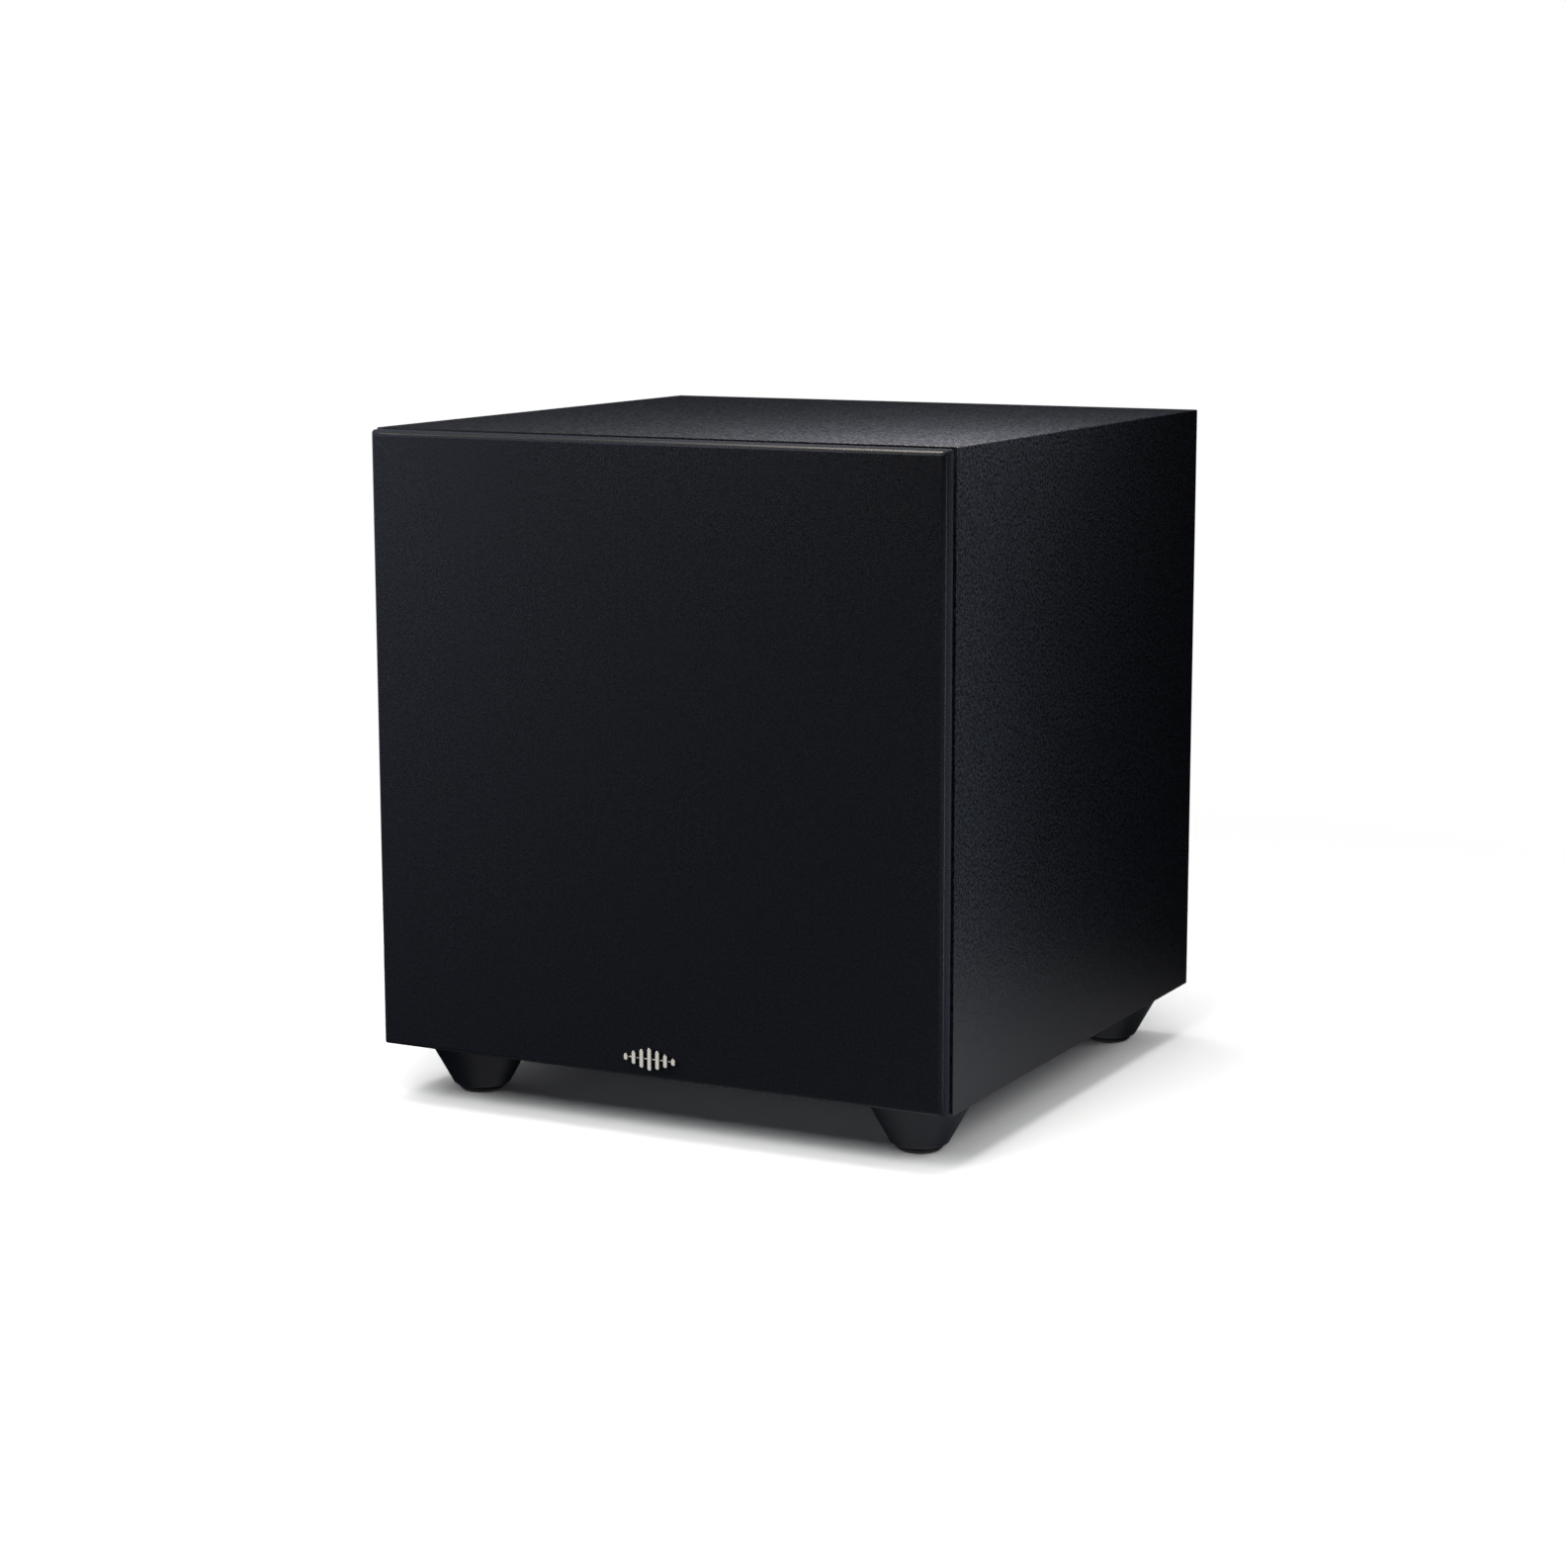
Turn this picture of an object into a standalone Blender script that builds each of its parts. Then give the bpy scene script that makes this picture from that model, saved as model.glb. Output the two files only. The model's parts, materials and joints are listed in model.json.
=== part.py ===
"""Powered subwoofer: a wrapped cube cabinet on four cone feet, with a 12-inch driver behind a pull-off
cloth grille, a port that fires at the floor, and a plate amplifier with its controls on the back.

Frame: +Z up, the grille faces -Y, and the origin lies on the floor below the middle of the whole object.
The sizes in turned() and prism() outlines are millimetres. Everything else is metres.
"""

import math

import bmesh
import bpy

MM = 0.001

# Driving dimensions
CABINET_W = 0.400
CABINET_D = 0.390
CABINET_H = 0.397
BOARD = 0.018  # fibreboard thickness
BRACE_FRONT = 0.200  # the brace's front face, behind the cabinet's front
BRACE_WINDOW_R = 122  # mm
FOOT_H = 0.036
TOUCH = 0.0002  # gap left between pieces that rest on each other

# Grille, seen from the front
GRILLE_MARGIN = 0.001  # the grille is this much smaller than the cabinet on each side
GRILLE_GAP = 0.0015  # shadow gap between the grille and the cabinet
GRILLE_T = 0.0095  # frame and cloth together
CLOTH_T = 0.001
GRILLE_WINDOW_R = 165  # mm, round window in the frame, clear of the driver's flange
PEG_X = 0.172  # pegs and sockets stand this far from the middle
PEG_Z = 0.170
PEG_R = 4.0  # mm
PEG_REACH = 0.012  # how far a peg enters the baffle
BADGE_T = 0.0016
BADGE_UP = 0.0146  # the badge's middle, above the cabinet's lower edge

# Amplifier on the back
PLATE_W = 0.290
PLATE_H = 0.240
PLATE_T = 0.003
CUTOUT_W = 0.264
CUTOUT_H = 0.214
AMP_GASKET_T = 0.002
PLATE_FACE = AMP_GASKET_T + TOUCH + PLATE_T  # plate's outer face, behind the cabinet's back
KNOB_H = 0.0148
KNOB_LIFT = 0.0006  # running gap between a knob and the plate

# The whole object's depth, and from it where the cabinet's front stands
FRONT_REACH = GRILLE_GAP + GRILLE_T + TOUCH + BADGE_T
REAR_REACH = PLATE_FACE + KNOB_LIFT + KNOB_H
FRONT_Y = -(FRONT_REACH + CABINET_D + REAR_REACH) / 2 + FRONT_REACH
BACK_Y = FRONT_Y + CABINET_D
MIDDLE_Z = FOOT_H + CABINET_H / 2

# Feet: distance of each axis from the cabinet's sides, front and back
FOOT_INSET_SIDE = 0.042
FOOT_INSET_FRONT = 0.0435
FOOT_INSET_BACK = 0.0385

# Driver, measured forwards from the baffle's front face, in mm (so behind it is negative)
FLANGE_FRONT = -11.5
FLANGE_R = 154.0
CUTOUT_R = 141.5
CONE_R = 117.5
CONE_BACK = -70.0
COIL_R = 26.0
SPIDER_LEVEL = -93.9
TOP_PLATE_FRONT = -118.2
MAGNET_FRONT = -128.4
MAGNET_BACK = -162.4
YOKE_BACK = -174.4
BASKET_WINDOWS = 8

# Port
PORT_R = 37.5  # mm, inside
PORT_Y = FRONT_Y + 0.261
PORT_TOP = 306.0  # mm above the floor

# Places on the amplifier plate, seen from behind: right and up from the plate's middle
KNOB_PLACES = {"level": (-0.092, 0.078), "crossover": (-0.038, 0.078), "phase": (0.016, 0.078)}
MODE_SWITCH_AT = (0.070, 0.078)
LED_AT = (0.104, 0.078)
JACK_PLACES = {"left": (-0.104, 0.022), "right": (-0.076, 0.022)}
ROCKER_AT = (0.040, -0.074)
INLET_AT = (0.092, -0.074)
TOROID_AT = (-0.070, -0.046)
BOARD_AT = (0.042, 0.010)

ROCKER_TILT = math.radians(8)  # the power rocker rests tipped by this much
FRONT_TURN = (math.radians(90), 0, 0)  # local +Z points at the viewer in front
REAR_TURN = (math.radians(90), 0, math.radians(180))  # local +Z points out of the back


def clear_scene():
    """Removes every object of the startup scene."""
    for obj in list(bpy.data.objects):
        bpy.data.objects.remove(obj, do_unlink=True)


def material(name, colour, roughness, metallic=0.0):
    """A Principled material of one colour."""
    made = bpy.data.materials.new(name)
    made.use_nodes = True
    shader = made.node_tree.nodes["Principled BSDF"]
    shader.inputs["Base Color"].default_value = (*colour, 1.0)
    shader.inputs["Roughness"].default_value = roughness
    shader.inputs["Metallic"].default_value = metallic
    return made


def empty(name, location, rotation=(0, 0, 0)):
    """A place that pieces are parented to."""
    made = bpy.data.objects.new(name, None)
    made.location = location
    made.rotation_euler = rotation
    bpy.context.scene.collection.objects.link(made)
    return made


def piece(name, mesh_data, finish, parent, at=(0, 0, 0), turn=(0, 0, 0), round_shape=False):
    """Makes the object of one sub-part from a bmesh and places it."""
    mesh = bpy.data.meshes.new(name)
    bmesh.ops.recalc_face_normals(mesh_data, faces=mesh_data.faces)
    mesh_data.to_mesh(mesh)
    mesh_data.free()
    if finish:
        mesh.materials.append(finish)
    if round_shape:
        mesh.shade_smooth()
        mesh.set_sharp_from_angle(angle=math.radians(35))
    made = bpy.data.objects.new(name, mesh)
    made.parent = parent
    made.location = at
    made.rotation_euler = turn
    bpy.context.scene.collection.objects.link(made)
    return made


def block(width, depth, height, edge=0.0, middle=(0, 0, 0)):
    """A box about middle, in metres, with its edges chamfered by edge."""
    shape = bmesh.new()
    bmesh.ops.create_cube(shape, size=1.0)
    bmesh.ops.scale(shape, vec=(width, depth, height), verts=shape.verts)
    bmesh.ops.translate(shape, vec=middle, verts=shape.verts)
    if edge:
        bmesh.ops.bevel(shape, geom=shape.edges, offset=edge, segments=1, affect="EDGES")
    return shape


def turned(profile, steps):
    """A turned solid about local Z. The profile is a loop of (radius, height) in mm, open on the axis."""
    shape = bmesh.new()
    points = [shape.verts.new((r * MM, 0, h * MM)) for r, h in profile]
    on_axis = profile[0][0] == 0 and profile[-1][0] == 0
    ends = points[1:] if on_axis else points[1:] + points[:1]
    edges = [shape.edges.new(pair) for pair in zip(points, ends)]
    bmesh.ops.spin(
        shape, geom=points + edges, cent=(0, 0, 0), axis=(0, 0, 1), angle=math.tau, steps=steps
    )
    bmesh.ops.remove_doubles(shape, verts=shape.verts, dist=1e-6)
    return shape


def prism(outline, height, bottom=0.0):
    """An outline of (x, y) in mm, raised along local Z from bottom by height, in metres."""
    shape = bmesh.new()
    face = shape.faces.new([shape.verts.new((x * MM, y * MM, bottom)) for x, y in outline])
    raised = bmesh.ops.extrude_face_region(shape, geom=[face])["geom"]
    tops = [v for v in raised if isinstance(v, bmesh.types.BMVert)]
    bmesh.ops.translate(shape, vec=(0, 0, height), verts=tops)
    return shape


def arc(middle, radius, start, end, steps):
    """Points from the angle start to end, in degrees, about middle."""
    turn = [math.radians(start + (end - start) * i / steps) for i in range(steps + 1)]
    return [(middle[0] + radius * math.cos(a), middle[1] + radius * math.sin(a)) for a in turn]


def rounded(width, height, radius, steps=3, middle=(0, 0)):
    """A rectangle's outline with round corners, in mm."""
    x, y = width / 2 - radius, height / 2 - radius
    corners = [((x, y), 0), ((-x, y), 90), ((-x, -y), 180), ((x, -y), 270)]
    places = [((middle[0] + c[0], middle[1] + c[1]), a) for c, a in corners]
    return [p for c, a in places for p in arc(c, radius, a, a + 90, steps)]


def circle(radius, steps, middle=(0, 0)):
    """A circle's outline, in mm."""
    return arc(middle, radius, 0, 360 - 360 / steps, steps - 1)


def boolean(target, other, operation):
    """Adds a Boolean that uses other, which is then only a helper."""
    made = target.modifiers.new(operation.title() + "_" + other.name, "BOOLEAN")
    made.operation = operation
    made.object = other
    made.solver = "EXACT"
    other.hide_render = True
    other.display_type = "WIRE"


def cut(target, shape, at=(0, 0, 0), turn=(0, 0, 0)):
    """Cuts a bmesh, placed in the target's parent, out of the target."""
    number = len(target.modifiers)
    helper = piece(f"{target.name}_cutter_{number}", shape, None, target.parent, at, turn)
    boolean(target, helper, "DIFFERENCE")


def join(target, shape, at=(0, 0, 0), turn=(0, 0, 0)):
    """Joins a bmesh, placed in the target's parent, to the target."""
    number = len(target.modifiers)
    helper = piece(f"{target.name}_joined_{number}", shape, None, target.parent, at, turn)
    boolean(target, helper, "UNION")


def make_finishes():
    """Every material, by name."""
    return {
        "wrap": material("satin_black_wrap", (0.018, 0.019, 0.023), 0.42),
        "board": material("raw_fibreboard", (0.36, 0.25, 0.15), 0.85),
        "cloth": material("black_grille_cloth", (0.012, 0.012, 0.014), 0.95),
        "frame": material("black_moulded_frame", (0.02, 0.02, 0.02), 0.6),
        "chrome": material("chrome_badge", (0.72, 0.72, 0.70), 0.12, 1.0),
        "foot": material("black_foot_plastic", (0.016, 0.017, 0.020), 0.38),
        "rubber": material("black_rubber", (0.02, 0.02, 0.02), 0.85),
        "port": material("black_port_plastic", (0.02, 0.02, 0.022), 0.5),
        "basket": material("cast_basket", (0.03, 0.03, 0.032), 0.5, 0.6),
        "paper": material("coated_cone", (0.03, 0.03, 0.032), 0.5),
        "cap": material("moulded_dust_cap", (0.02, 0.02, 0.021), 0.3),
        "copper": material("copper_winding", (0.72, 0.35, 0.16), 0.35, 1.0),
        "spider": material("impregnated_cotton", (0.55, 0.36, 0.12), 0.9),
        "steel": material("zinc_plated_steel", (0.55, 0.56, 0.58), 0.35, 1.0),
        "ferrite": material("ferrite", (0.045, 0.045, 0.048), 0.7),
        "plate": material("black_anodised_plate", (0.02, 0.021, 0.023), 0.45, 0.7),
        "circuit": material("green_circuit_board", (0.02, 0.16, 0.07), 0.5),
        "tape": material("transformer_tape", (0.62, 0.44, 0.05), 0.45),
        "sleeve": material("capacitor_sleeve", (0.03, 0.05, 0.16), 0.35),
        "brass": material("gold_plated_brass", (0.83, 0.62, 0.25), 0.22, 1.0),
        "fitting": material("black_fitting_plastic", (0.022, 0.022, 0.024), 0.5),
        "wool": material("polyester_wool", (0.75, 0.75, 0.72), 0.95),
        "lens": material("led_lens", (0.05, 0.25, 0.75), 0.15),
    }


def make_cabinet(finish):
    """Four mitred panels, two front baffles, the back and the brace, all in the cabinet's own frame."""
    origin = empty("cabinet", (0, FRONT_Y, FOOT_H))
    half_w, height, board = CABINET_W / 2 / MM, CABINET_H / MM, BOARD / MM
    mitre = TOUCH / MM
    inner_w, inner_h = half_w - board, height - board
    wide, narrow = half_w - mitre, inner_w - mitre
    # Each outline is one side of the box with mitred ends, seen from the front.
    outlines = {
        "cabinet_bottom": [(-wide, 0), (wide, 0), (narrow, board), (-narrow, board)],
        "cabinet_top": [(-narrow, inner_h), (narrow, inner_h), (wide, height), (-wide, height)],
        "cabinet_left": [(-half_w, 0), (-inner_w, board), (-inner_w, inner_h), (-half_w, height)],
        "cabinet_right": [(half_w, 0), (half_w, height), (inner_w, inner_h), (inner_w, board)],
    }
    panels = {}
    for name, outline in outlines.items():
        panel = prism(outline, CABINET_D, bottom=-CABINET_D)
        panels[name] = piece(name, panel, finish["wrap"], origin, turn=FRONT_TURN)
    port_hole = prism(circle(PORT_R + 17, 36), BOARD * 2)
    cut(panels["cabinet_bottom"], port_hole, at=(0, PORT_Y - FRONT_Y, -BOARD / 2))

    inside_w = CABINET_W - 2 * BOARD - 2 * TOUCH
    inside_h = CABINET_H - 2 * BOARD - 2 * TOUCH
    middle = CABINET_H / 2

    def inner_board(name, front, coat):
        shape = block(inside_w, BOARD - TOUCH, inside_h)
        return piece(name, shape, coat, origin, at=(0, front + BOARD / 2, middle))

    baffle = inner_board("front_baffle", 0, finish["wrap"])
    cut(baffle, prism(circle(FLANGE_R + 1, 48), BOARD * 2), at=(0, BOARD * 1.5, middle), turn=FRONT_TURN)
    inner = inner_board("inner_baffle", BOARD, finish["board"])
    cut(inner, prism(circle(CUTOUT_R, 48), BOARD * 3), at=(0, BOARD * 3, middle), turn=FRONT_TURN)
    for x in (-PEG_X, PEG_X):
        for z in (-PEG_Z, PEG_Z):
            hole = prism(circle(PEG_R + 2.7, 16), BOARD * 2)
            cut(baffle, hole, at=(x, BOARD * 1.5, middle + z), turn=FRONT_TURN)

    back = inner_board("rear_panel", CABINET_D - BOARD, finish["wrap"])
    cut(back, block(CUTOUT_W, BOARD * 2, CUTOUT_H), at=(0, CABINET_D - BOARD / 2, middle))

    brace = inner_board("window_brace", BRACE_FRONT, finish["board"])
    window = prism(circle(BRACE_WINDOW_R, 40), BOARD * 2)
    cut(brace, window, at=(0, BRACE_FRONT + BOARD * 1.5, middle), turn=FRONT_TURN)

    thick, deep, tall = 0.020, 0.150, 0.300
    pad = block(thick, deep, tall, edge=0.004)
    pad_x = -CABINET_W / 2 + BOARD + TOUCH + thick / 2
    piece("damping_pad", pad, finish["wool"], origin, at=(pad_x, 0.120, middle))


def make_feet(finish):
    """Four moulded cones, each on a rubber pad, with a stepped hole for the screw that holds it."""
    top = FOOT_H / MM - TOUCH / MM
    cone = (
        [(2.6, top), (2.6, 14), (7, 14), (7, 4.4), (16, 4.4)]
        + arc((16, 7.6), 3.2, -70, -25, 3)
        + [(34.2, top - 1.6), (34.8, top - 0.8), (34.8, top)]
    )
    pad = [(7, 0.9), (7, 4.2), (14.6, 4.2), (14.6, 2.6), (13.6, 1.0), (11.4, 0.0), (7.8, 0.0)]
    places = {
        "front_left": (-1, FRONT_Y + FOOT_INSET_FRONT),
        "front_right": (1, FRONT_Y + FOOT_INSET_FRONT),
        "rear_left": (-1, BACK_Y - FOOT_INSET_BACK),
        "rear_right": (1, BACK_Y - FOOT_INSET_BACK),
    }
    for name, (side, y) in places.items():
        axis = empty(f"foot_axis_{name}", (side * (CABINET_W / 2 - FOOT_INSET_SIDE), y, 0))
        piece(f"foot_{name}", turned(cone, 28), finish["foot"], axis, round_shape=True)
        piece(f"foot_pad_{name}", turned(pad, 24), finish["rubber"], axis, round_shape=True)


def make_port(finish):
    """A flared tube that fires down through the bottom panel."""
    bottom = FOOT_H / MM + 0.2
    panel_top = bottom + BOARD / MM
    flare = []
    for angle in (0, 20, 40, 60, 90):
        share = math.radians(angle)
        flare.append((PORT_R + 12.5 * (1 - math.sin(share)), bottom + 18 * (1 - math.cos(share))))
    mouth = arc((PORT_R + 12, PORT_TOP - 12), 12, 180, 100, 4)
    outside = [
        (PORT_R + 13, PORT_TOP - 2.5), (PORT_R + 3, PORT_TOP - 14), (PORT_R + 3, panel_top - 2),
        (PORT_R + 16.2, panel_top - 5), (PORT_R + 16.2, bottom),
    ]
    axis = empty("port_axis", (0, PORT_Y, 0))
    tube = turned(flare + mouth + outside, 36)
    piece("port_tube", tube, finish["port"], axis, round_shape=True)


def badge_shape():
    """Seven upright bars of a sound wave on one thin level bar."""
    heights = [4.5, 8.5, 12.0, 14.4, 12.0, 8.5, 4.5]
    pitch, width = 5.6, 2.4
    bars = []
    for index, height in enumerate(heights):
        x = (index - (len(heights) - 1) / 2) * pitch
        bars.append(rounded(width, height, 1.15, 2, middle=(x, 0)))
    return bars, pitch * (len(heights) - 1)


def make_grille(finish):
    """The pull-off grille: a moulded frame with four pegs, the cloth over it, and the badge."""
    face = empty("grille", (0, FRONT_Y, MIDDLE_Z), FRONT_TURN)
    width = (CABINET_W - 2 * GRILLE_MARGIN) / MM
    height = (CABINET_H - 2 * GRILLE_MARGIN) / MM
    cloth, gap = CLOTH_T / MM, TOUCH / MM
    frame_outline = rounded(width - 2 * (cloth + gap), height - 2 * (cloth + gap), 2.0)
    frame_t = GRILLE_T - CLOTH_T - TOUCH
    frame = piece("grille_frame", prism(frame_outline, frame_t, GRILLE_GAP), finish["frame"], face)
    cut(frame, prism(circle(GRILLE_WINDOW_R, 48), 0.03, -0.01))
    peg = [(0, -PEG_REACH / MM), (3.0, -PEG_REACH / MM), (PEG_R, -PEG_REACH / MM + 2), (PEG_R, 4), (0, 4)]
    for x in (-PEG_X, PEG_X):
        for y in (-PEG_Z, PEG_Z):
            join(frame, turned(peg, 16), at=(x, y, 0))

    outside = prism(rounded(width, height, 3.0), GRILLE_T, GRILLE_GAP)
    tray = piece("grille_cloth", outside, finish["cloth"], face)
    hollow = rounded(width - 2 * cloth, height - 2 * cloth, 2.4)
    cut(tray, prism(hollow, GRILLE_T, GRILLE_GAP - CLOTH_T))

    bars, length = badge_shape()
    badge_front = GRILLE_GAP + GRILLE_T + TOUCH
    badge_at = (0, BADGE_UP - CABINET_H / 2, badge_front)
    spine = prism(rounded(length, 1.4, 0.5, 2), BADGE_T * 0.6)
    badge = piece("badge", spine, finish["chrome"], face, at=badge_at)
    for bar in bars:
        join(badge, prism(bar, BADGE_T), at=badge_at)

    bore, body, lip = PEG_R + 0.5, PEG_R + 2.4, PEG_R + 4.2
    socket = [(bore, 0.9), (bore, -13.5), (body, -13.5), (body, 0.3), (lip, 0.3), (lip, 0.9)]
    places = {
        "top_left": (-PEG_X, PEG_Z),
        "top_right": (PEG_X, PEG_Z),
        "bottom_left": (-PEG_X, -PEG_Z),
        "bottom_right": (PEG_X, -PEG_Z),
    }
    for name, (x, y) in places.items():
        shape = turned(socket, 16)
        piece(f"grille_socket_{name}", shape, finish["rubber"], face, at=(x, y, 0), round_shape=True)


def cone_level(r):
    """Height of the cone's front at radius r: a cone that curves a little."""
    share = (110 - r) / (110 - COIL_R)
    return FLANGE_FRONT + (CONE_BACK - FLANGE_FRONT) * (share + 0.12 * share * (1 - share))


def make_driver(finish):
    """The 12-inch driver, from the flange's gasket to the yoke."""
    axis = empty("driver_axis", (0, FRONT_Y, MIDDLE_Z), FRONT_TURN)

    def turned_piece(name, profile, coat, steps):
        return piece(name, turned(profile, steps), finish[coat], axis, round_shape=True)

    basket = turned_piece(
        "driver_basket",
        [
            (FLANGE_R, FLANGE_FRONT), (FLANGE_R, -16.5), (140, -16.5), (139, -26), (87, -97), (81, -101),
            (81, -118), (46, -118), (46, -114), (77, -114), (77, -98), (66, -98), (66, -94.5), (82, -94.5),
            (134.5, -25), (136, -18), (136, FLANGE_FRONT),
        ],
        "basket",
        48,
    )
    near, far, half_spoke = 70, 150, 9
    spread = math.tan(math.pi / BASKET_WINDOWS)
    window_back, window_depth = -0.088, 0.056
    for index in range(BASKET_WINDOWS):
        angle = math.tau * index / BASKET_WINDOWS
        outline = [
            (near, half_spoke - near * spread), (far, half_spoke - far * spread),
            (far, far * spread - half_spoke), (near, near * spread - half_spoke),
        ]
        cut(basket, prism(outline, window_depth, window_back), turn=(0, 0, angle))
    turned_piece("driver_gasket", [(143, -17.8), (153, -17.8), (153, -16.7), (143, -16.7)], "rubber", 40)

    low, top, roll = FLANGE_FRONT + 0.2, FLANGE_FRONT + 1.4, (127.5, FLANGE_FRONT + 1.4)
    outer = arc(roll, 10.1, 180, 0, 8)
    inner = arc(roll, 8.9, 0, 180, 8)
    surround = [(110, top)] + outer + [(148, top), (148, low), (136.4, low)]
    surround += inner + [(118.6, low), (110, low)]
    turned_piece("surround", surround, "rubber", 40)

    radii = [COIL_R + 0.4 + (110 - COIL_R - 0.4) * i / 6 for i in range(7)]
    front = [(r, cone_level(r)) for r in reversed(radii)]
    back = [(r, cone_level(r) - 1.8) for r in radii]
    cone = [(CONE_R, FLANGE_FRONT)] + front + back + [(CONE_R, FLANGE_FRONT - 1.5)]
    turned_piece("cone", cone, "paper", 40)

    rim_r, dome_h, skin = 58.0, 15.0, 1.0
    rim = cone_level(rim_r) + 1.2
    dome_r = (rim_r**2 + dome_h**2) / (2 * dome_h)
    spread = math.degrees(math.asin(rim_r / dome_r))
    centre = (0, rim + dome_h - dome_r)
    outside = arc(centre, dome_r, 90, 90 - spread, 5)
    inside = arc(centre, dome_r - skin, 90 - spread, 90, 5)
    outside[0], inside[-1] = (0, outside[0][1]), (0, inside[-1][1])
    turned_piece("dust_cap", outside + inside, "cap", 36)

    coil = [
        (COIL_R - 0.6, -66), (COIL_R - 0.6, -146), (COIL_R, -146), (COIL_R, -142), (COIL_R + 1, -142),
        (COIL_R + 1, -110), (COIL_R, -110), (COIL_R, -66),
    ]
    turned_piece("voice_coil", coil, "copper", 28)

    waves, amplitude, cloth = 4, 2.0, 0.8
    first, last = COIL_R + 0.4, 66.0
    steps = waves * 4
    line = []
    for i in range(steps + 1):
        height = SPIDER_LEVEL + amplitude * math.sin(math.pi * i / 2)
        line.append((first + (last - first) * i / steps, height))
    upper = [(r, h + cloth / 2) for r, h in line] + [(80, SPIDER_LEVEL + cloth / 2)]
    lower = [(80, SPIDER_LEVEL - cloth / 2)] + [(r, h - cloth / 2) for r, h in reversed(line)]
    turned_piece("spider", upper + lower, "spider", 32)

    front, back = TOP_PLATE_FRONT, MAGNET_FRONT + 0.2
    turned_piece("top_plate", [(28, front), (80, front), (80, back), (28, back)], "steel", 32)
    front, back = MAGNET_FRONT, MAGNET_BACK
    magnet = [(42, front), (84, front), (85, front - 1), (85, back + 1), (84, back), (42, back)]
    turned_piece("magnet", magnet, "ferrite", 36)
    front, back = MAGNET_BACK - 0.2, YOKE_BACK
    yoke = [(9, -116), (24.7, -116), (24.7, front), (79, front), (79, back + 3), (75, back), (9, back)]
    turned_piece("yoke", yoke, "steel", 32)

    strip = block(0.008, 0.026, 0.013, edge=0.0008)
    piece("terminal_strip", strip, finish["fitting"], axis, at=(-0.0856, 0, -0.1095))
    # From the strip, past the magnet and through the brace's window, to the amplifier's board.
    route = [
        (-85.6, 0, -116.4), (-86.5, 0, -124), (-93, 0, -134), (-98, 0, -150), (-99, 0, -170),
        (-97, -2, -200), (-92, -4, -235), (-85, -6, -270), (-72, -8, -300), (-58, -6, -316),
        (-50, 0, -331), (-47, 6, -346), (-46, 10, -357.5),
    ]
    wire("speaker_lead", route, 2.4, finish["rubber"], axis, points=30)


def wire(name, route, radius, finish, parent, points):
    """A round lead along a smooth curve through the route's points, in mm."""
    curve = bpy.data.curves.new(name, "CURVE")
    curve.dimensions = "3D"
    curve.bevel_depth = radius * MM
    curve.bevel_resolution = 1
    curve.use_fill_caps = True
    spline = curve.splines.new("POLY")
    spline.points.add(points - 1)
    for index in range(points):
        place = catmull_rom(route, index / (points - 1))
        spline.points[index].co = (*[v * MM for v in place], 1)
    curve.materials.append(finish)
    made = bpy.data.objects.new(name, curve)
    made.parent = parent
    bpy.context.scene.collection.objects.link(made)
    return made


def catmull_rom(route, share):
    """The point at share, from 0 to 1, of the smooth curve through every point of the route."""
    spans = len(route) - 1
    at = min(share * spans, spans - 1e-9)
    index, t = int(at), at - int(at)
    a, b, c, d = (route[min(max(index + k, 0), spans)] for k in (-1, 0, 1, 2))
    place = []
    for p, q, r, s in zip(a, b, c, d):
        bend, twist = 2 * p - 5 * q + 4 * r - s, 3 * q - p - 3 * r + s
        place.append(0.5 * (2 * q + (r - p) * t + bend * t**2 + twist * t**3))
    return place


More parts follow.
